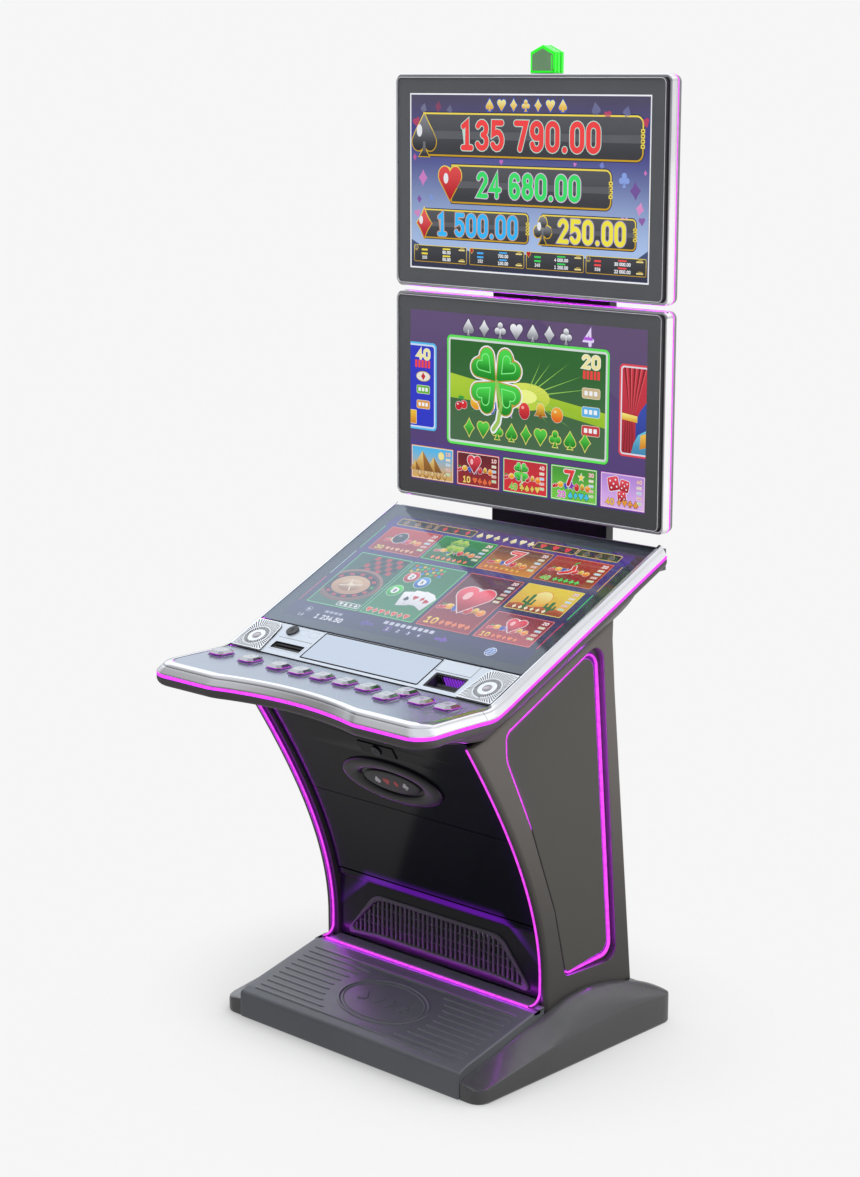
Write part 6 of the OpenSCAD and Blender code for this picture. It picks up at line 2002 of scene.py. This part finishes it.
# balls and cards tile
slope.box(-142, -331, -5, -160, 2, 2, "#2c7a48>#3c8c58", 1.7, "#80f0a0")
for i in range(3):
    for j in range(8):
        slope.ball(-128 + j * 10.5, -170 - i * 9 - (j % 2) * 2, 3.6, 4,
                   ("#e04040", "#4080e0", "#f0c040", "#50c060")[(i + j) % 4], shine=None)
NUMBERED_BALLS = (("2", -112, -205, "#e04848>#b02030"), ("5", -76, -216, "#58a0e8>#2860b0"),
                  ("8", -116, -252, "#50e050>#20a030"))
for _, x, y, col in NUMBERED_BALLS:
    slope.ball(x, y, 17, 6, col, "#e8f8e8", 1.0)
    slope.round(x, y, 9, 9, 20, 9, WHITE)
for text, x, y, _ in NUMBERED_BALLS:
    slope.digits(text, x, y, 10, 6.5, 10, "#202020")
CARD_LIMIT_X = -7.5
for k, (cx, cy, turn, kind, col) in enumerate((
        (-72, -268, 14, "spade", "#202024"), (-54, -262, 0, "heart", "#d02030"),
        (-36, -262, -14, "diamond", "#d02030"), (-20, -268, -26, "heart", "#d02030"))):
    card = ccw(place(rrect(30, 44, 3, steps=3), cx, cy, 1, turn=turn))
    slope.poly([[(min(CARD_LIMIT_X, x), y) for x, y in offset(card, -0.7)]], 8 + (k % 2),
               "#8c9094")
    slope.poly([[(min(CARD_LIMIT_X, x), y) for x, y in card]], 9 + (k % 2), "#ffffff>#e4e4e8")
    slope.suit(kind, cx - (4 if k == 3 else 0), cy, 7, 10, col, turn=turn)
slope.suit_row(RED_PAIR, 7, -126, 16, -318, 7, 7, "#f05040", "#f0f0d0", 0.9)

# large heart tile
slope_tile(5, -160, 137, -331, "#5a1c24>#a03038", "#f07070")
slope.fruit_row(20, 116, -268, 11, 4)
slope.suit("heart", 66, -236, 42, 7, "#ff6070>#a00c1c", "#e8d8d8", 2.2, "#ffc8c8", sx=1.08)
slope.digits("10", 30, -312, 20, 13, 7, "#ffe070>#f0a030", "#802010", 1.2, stroke=0.22)
slope.suit_row(("diamond", "heart"), 5, 56, 16, -313, 8.5, 7, "#f08050", "#701818", 0.9)

# desert tile: sun, sand, two cacti
slope_tile(146, -158, 281, -238, "#f0d048>#e8b038", "#f0e070")
slope.ball(206, -196, 22, 4, "#fff0a0>#f8c040", "#f09030", 1.5, shine=None)
slope.poly([[(148, -236), (148, -222), (170, -216), (200, -224), (236, -214), (279, -222),
             (279, -236)]], 6, "#d06828>#a04818")
for x, h in ((186, 40), (240, 28)):
    slope.ribbon([(x, -230), (x, -230 + h)], 7.5, 7, "#307838")
    slope.ribbon([(x, -230 + h * .4), (x - 11, -230 + h * .45), (x - 11, -230 + h * .8)], 5, 7,
                 "#307838")
    slope.ribbon([(x, -230 + h * .3), (x + 10, -230 + h * .35), (x + 10, -230 + h * .66)], 5, 7,
                 "#307838")
slope.suit_row(("diamond",), 6, 166, 14, -229, 6, 8, "#fff4d0", "#804018")

# small heart tile
slope_tile(147, -251, 282, -331, "#902c34>#b84048", "#f08088")
slope.fruit_row(164, 244, -296, 8, 4)
slope.suit("heart", 210, -282, 22, 6, "#f85868>#a81020", WHITE, 1.2, "#ffc0c0", sx=1.05)
slope.digits("10", 168, -319, 14, 9.5, 7, "#ffe070>#f0a030", "#802010", 0.9, stroke=0.22)
slope.suit_row(("diamond", "heart"), 5, 188, 13, -319, 6.4, 7, "#f08050", "#701818")
# edges of further tiles at both sides
for x, cols in ((-303.2, ("#50e060", "#b8e8d8", "#f06080")),
                (299.5, ("#f0c050", "#40f060", "#f04058"))):
    for (y0, y1), col in zip(((-148, -67), (-239, -159), (-331, -250)), cols):
        slope.box(x - 0.9, y0, x + 0.9, y1, 0.8, 2, col)

# bottom row: arrows, page numbers, credit, small round marks
for x, d, col in ((-96, -1, "#4a2c8c"), (93, 1, "#6c3cb0")):
    arrow = ccw([(x - 16 * d, -362), (x + 2 * d, -362), (x + 2 * d, -368), (x + 17 * d, -358.5),
                 (x + 2 * d, -349), (x + 2 * d, -355), (x - 16 * d, -355)])
    slope.poly([arrow], 3, "#8a50c8>#5c3c98")
    slope.poly([offset(arrow, 1.4)], 4, col)
for j in range(4):
    x = -40 + j * 26.5
    slope.box(x - 7, -368, x + 7, -353, 1.5, 3, "#3a2c60", 1.2, "#504080" if j else "#a060e0")
    slope.digits("1234"[j], x, -360.5, 8.5, 5.5, 5, "#f0f0ff", stroke=0.2)
slope.box_row(9, 14.5, -62, -349, -52, -340, 1.4, 3, "#d8d8e8")
slope.digits("1 234.50", -190, -367, 14, 8.4, 3, "#f4f4fa", "#50506c", 0.6, stroke=0.2)
slope.box_row(4, 12, -214, -353, -205, -346, 1.0, 3, "#b8b8d0")
slope.ball(-256, -352, 6.5, 3, "#484a68", "#c8c8dc", 0.9, shine=None)
slope.poly([[(-259, -348), (-252, -352), (-259, -356)]], 5, "#e0e0f0")
slope.digits("1.0", -262, -371, 7.5, 4.6, 3, "#d8d8e8", stroke=0.2)
slope.ball(217, -362, 11, 3, "#3a78c8>#2850a0", "#f0f0f8", 1.2, shine=None)
slope.poly([ellipse(5.2, 11, 217, -362, 24), ellipse(4.0, 9.8, 217, -362, 24)], 5, "#e8f0ff")
for dy, half in ((-5, 9.6), (0, 10.8), (5, 9.6)):
    slope.box(217 - half, -362 + dy - .5, 217 + half, -362 + dy + .5, .2, 5, "#e8f0ff")
slope.build("slope_picture", "lid")

# ------------------------------------------------------------------ display glasses and trims

MONITORS = ((UPPER_Z, 592.5, 334.5), (MIDDLE_Z, 593, 338))   # centre z, width and height seen

# cover glass, dark border printed on its inner face, bright bead round its edge
glasses = Solid()
bead_levels = [((1.75 - 1.75 * cos(pi * k / 8)) * 0.6, 2.0 + 1.9 * sin(pi * k / 8))
               for k in range(9)] + [(3.5 * 0.6, 0.9), (0.0, 0.9)]
for z, width, height in MONITORS:
    face = front_view(0, 209, z)
    glasses.plate([rrect(656, 392, 9, steps=8)], 0.22, 4.0, 0.9, frame=face)
    glasses.plate([rrect(655.4, 391.4, 8.7, steps=8), rrect(width, height, 0.6, steps=2)],
                  0.02, 0.20, mat=1, frame=face)
    glasses.stack(rrect(660.2, 396.2, 11.1, steps=8), bead_levels, 2, face, False, True)
glasses.replace("monitor_glasses", [MAT["glass"], MAT["bezel"], MAT["bead"]], "cover_glass",
                smooth=40, merge=0)
from_cad("monitor_lcds", BODY, "plastic", 0.6)
from_cad("screen_lcd", "lid", "plastic", 0.6)

# Levels of the frames round the upright displays are (inset, distance towards the player).
TRIM = [(3.4, 0.0), (0.5, 0.0), (0.1, 0.5), (0.0, 1.4), (0.0, 11.5), (0.25, 13.0), (1.0, 14.4),
        (2.2, 15.2), (3.6, 15.4), (5.6, 15.4), (6.1, 14.9), (6.1, 14.2), (6.1, 0)]
LIT_BEAD = [(5.4, 2.0), (0.3, 2.0), (0.05, 2.3), (0.0, 2.8), (0.0, 4.3), (0.05, 4.8), (0.3, 5.1),
            (5.4, 5.1)]
FRONT_CHEEK = [(5.5, 5.2), (0.3, 5.2), (0.05, 5.5), (0.05, 7.0), (0.35, 7.5), (1.0, 7.85),
               (5.5, 7.85)]
REAR_CHEEK = [(5.5, 0.1), (1.0, 0.1), (0.4, 0.5), (0.1, 1.1), (0.1, 1.6), (0.3, 1.9), (5.5, 1.9)]
trims, bands = Solid(), Solid()
for z in (UPPER_Z, MIDDLE_Z):
    trims.stack(rrect(674, 408, 13, steps=12), TRIM, 0, front_view(0, 227.9, z), False, True)
    for mat, levels in enumerate((LIT_BEAD, FRONT_CHEEK, REAR_CHEEK)):
        bands.stack(rrect(673.4, 407.4, 13, steps=12), levels, mat, front_view(0, 235.9, z),
                    False, True)
trims.replace("monitor_trims", MAT["trim"], "chrome", smooth=35)
bands.replace("monitor_leds", [MAT["led"], MAT["trim"], MAT["lip"]], "led_magenta", smooth=40)

# cover glass of the sloped display, its printed border and dark rim
GLASS_Y = -203.75
cover = Solid(SLANT)
cover.plate([rrect(660.8, 407.5, 4, 0, GLASS_Y)], -4.7, 0, 0.8)
cover.plate([rrect(660.2, 406.9, 3.7, 0, GLASS_Y), rrect(609, 352, 0.6, 0, -205.5, 2)],
            -4.95, -4.74, mat=1)
cover.plate([rrect(661.0, 407.7, 4.1, 0, GLASS_Y), rrect(660.82, 407.52, 4.0, 0, GLASS_Y)],
            -4.95, -1.2, mat=1)
cover.replace("screen_glass", [MAT["slantglass"], MAT["slantbezel"]], "cover_glass", "lid",
              smooth=40, merge=0)

# ------------------------------------------------------------------ signal light on top


def house(width, shoulder, apex, radius=2.4, foot=0.0):
    """Outline with a flat foot, upright sides and a low gable."""
    return ccw(rounded([(-width / 2, foot), (width / 2, foot), (width / 2, shoulder), (0, apex),
                        (-width / 2, shoulder)], [0.8, 0.8, radius, radius, radius], 4))


BEACON_LAYERS = (   # material, levels of (inset, distance towards the player)
    (1, ((4.2, -13.2), (0.8, -13.4), (0, -12.6), (0, -7.0))),
    (2, ((2.6, -7.0), (2.6, -3.0))),
    (1, ((0.4, -3.0), (0.2, -2.4), (0.2, 4.0), (0.8, 4.6))),
    (2, ((2.8, 4.6), (2.8, 7.4))),
    (1, ((0.6, 7.4), (0.0, 8.0), (0.0, 12.4), (1.0, 13.2), (4.0, 13.3))))
beacon = Solid(front_view(0, 268.5, 1785.2))
for mat, levels in BEACON_LAYERS:
    beacon.stack(house(60, 38, 51), levels, mat)
wide, narrow = house(50.5, 33.4, 44.6, 1.6, 4.0), house(49.5, 32.9, 43.9, 1.6, 4.5)
beacon.loft([at_z(wide, 12.9), at_z(wide, 13.3), at_z(narrow, 13.48)])
beacon.loft([at_z(ccw([(20.6, 5.2), (23.4, 5.2), (23.4, 31.6), (20.6, 33.0)]), 13.4),
             at_z(ccw([(21.0, 5.6), (23.2, 5.6), (23.2, 31.2), (21.0, 32.4)]), 13.49)], 1)
beacon.replace("beacon_lens", [MAT["green_face"], MAT["green_edge"], MAT["green_dark"]],
               "beacon_green", smooth=30, merge=0)

# ------------------------------------------------------------------ floor

BACKDROP = (0.925, 0.925, 0.925)


def floor_material():
    """Pale floor: contact shade for the camera, soft light for everything else."""
    s = new_material("pale_floor")
    p = s.coord()
    x = s.axis("X", p)
    near = s.node("AmbientOcclusion", "AO", {"samples": 16}, Distance=0.42)
    # the shade fades towards the right rear
    away = s.math("ADD", s.times(x, 0.8), s.times(s.axis("Y", p), 0.6))
    away = s.smooth(away, -0.15, 0.55, 1.0, 0.38)
    dark = s.math("SUBTRACT", 1.0, s.math("POWER", near, 1.15))
    shade = s.math("SUBTRACT", 1.0, s.times(dark, away))
    uneven = s.span(s.noise(30, 4.0, p), 0.3, 0.7, 0.997, 1.003)
    flat = s.emission(s.mix(shade, (0.09, 0.09, 0.10), BACKDROP), uneven)
    side = s.math("ADD", s.times(x, 0.7), s.times(s.axis("Y", p), 0.7))
    soft = s.emission((1.0, 0.985, 0.97), s.smooth(side, -1.2, 3.0, 0.34, 1.05))
    return s.end(s.mix_shader(s.node("LightPath", "Is Camera Ray"), soft, flat))


FLOOR_HALF, FLOOR_Z = 30, -0.0004
mesh = bpy.data.meshes.new("floor")
mesh.from_pydata([(x * FLOOR_HALF, y * FLOOR_HALF, FLOOR_Z)
                  for x, y in ((-1, -1), (1, -1), (1, 1), (-1, 1))], [], [(0, 1, 2, 3)])
mesh.materials.append(floor_material())
floor = bpy.data.objects.new("floor", mesh)
scene.collection.objects.link(floor)

# ------------------------------------------------------------------ world

ROOM_GREYS = (   # height share, colour of the room
    (0.0, (0.50, 0.50, 0.51)), (0.17, (0.20, 0.20, 0.22)), (0.34, (0.24, 0.24, 0.26)),
    (0.52, (0.36, 0.355, 0.35)), (0.70, (0.62, 0.62, 0.63)), (1.0, (0.95, 0.96, 1.0)))
GLOWS = (   # direction, cosine at the edge and at the core, colour, gain
    ((0.78, 0.60, 0.10), 0.55, 0.95, (1.0, 0.99, 0.97), 0.62),
    ((-0.66, 0.50, 0.55), 0.78, 0.985, (0.90, 0.95, 1.0), 0.95),
    ((-0.95, 0.15, 0.10), 0.80, 0.97, (0.92, 0.96, 1.0), 0.40),
    ((0.1, 0.66, 0.74), 0.80, 0.97, (1.0, 1.0, 1.0), 0.45))

scene.world = bpy.data.worlds.new("studio")
s = Shader(scene.world, "OutputWorld")
direction = s.node("TexCoord", "Generated")
sky = s.ramp(s.span(s.axis("Z", direction), -0.1, 0.9, 0.0, 1.0), *ROOM_GREYS)
for aim, edge_cos, core_cos, colour, gain in GLOWS:
    facing = s.node("VectorMath", "Value", {"operation": "DOT_PRODUCT"}, i0=direction,
                    i1=tuple(Vector(aim).normalized()))
    share = s.span(facing, edge_cos, core_cos, 0.0, 1.0, "SMOOTHERSTEP")
    sky = s.mix(1.0, sky, s.mix(1.0, tuple(c * gain for c in colour), share, "MULTIPLY"), "ADD")
room = s.node("Background", Color=sky, Strength=0.85)
seen = s.node("Background", Color=BACKDROP, Strength=1.0)
s.end(s.mix_shader(s.node("LightPath", "Is Camera Ray"), room, seen))

# ------------------------------------------------------------------ lights, camera, render


def soft_light(name, location, target, size, power, colour=(1, 1, 1)):
    """Area light that neither the camera nor reflections see."""
    data = bpy.data.lights.new(name, "AREA")
    data.shape = "RECTANGLE"
    data.size, data.size_y = size
    data.energy = power
    data.color = colour
    data.spread = radians(180)
    light = bpy.data.objects.new(name, data)
    scene.collection.objects.link(light)
    light.location = location
    light.rotation_mode = "QUATERNION"
    light.rotation_quaternion = (Vector(target) - Vector(location)).to_track_quat("-Z", "Y")
    light.visible_camera = False
    light.visible_glossy = False


soft_light("top_box", location=(0.3, -0.2, 3.6), target=(0, -0.1, 0.8), size=(3.2, 2.6),
           power=62)
soft_light("left_box", location=(-3.2, -1.6, 2.3), target=(0, -0.1, 0.9), size=(1.6, 2.6),
           power=44, colour=(0.95, 0.98, 1.0))
soft_light("right_box", location=(3.4, 0.9, 2.4), target=(0.2, 0, 0.8), size=(1.4, 2.4),
           power=34, colour=(1.0, 0.985, 0.96))
soft_light("front_box", location=(1.2, -3.6, 2.9), target=(0, 0, 0.9), size=(2.4, 1.4),
           power=30)

CAMERA_AZIMUTH, CAMERA_DIP = radians(43.31), radians(12.11)
camera_data = bpy.data.cameras.new("camera")
camera = bpy.data.objects.new("camera", camera_data)
scene.collection.objects.link(camera)
scene.camera = camera
look = Vector((-sin(CAMERA_AZIMUTH) * cos(CAMERA_DIP), cos(CAMERA_AZIMUTH) * cos(CAMERA_DIP),
               -sin(CAMERA_DIP)))
camera.location = (2.973, -3.2032, 1.7817)
camera.rotation_mode = "QUATERNION"
camera.rotation_quaternion = look.to_track_quat("-Z", "Y")
camera_data.sensor_fit = "AUTO"
camera_data.sensor_width = 36
camera_data.lens = 73.226508
camera_data.clip_start, camera_data.clip_end = 0.05, 100

scene.view_settings.view_transform = "Standard"
scene.view_settings.look = "None"
scene.view_settings.exposure = 0.0
scene.cycles.use_denoising = True
scene.cycles.max_bounces = 8
scene.cycles.transparent_max_bounces = 12
scene.cycles.sample_clamp_indirect = 6.0
scene.cycles.caustics_reflective = False
scene.cycles.caustics_refractive = False
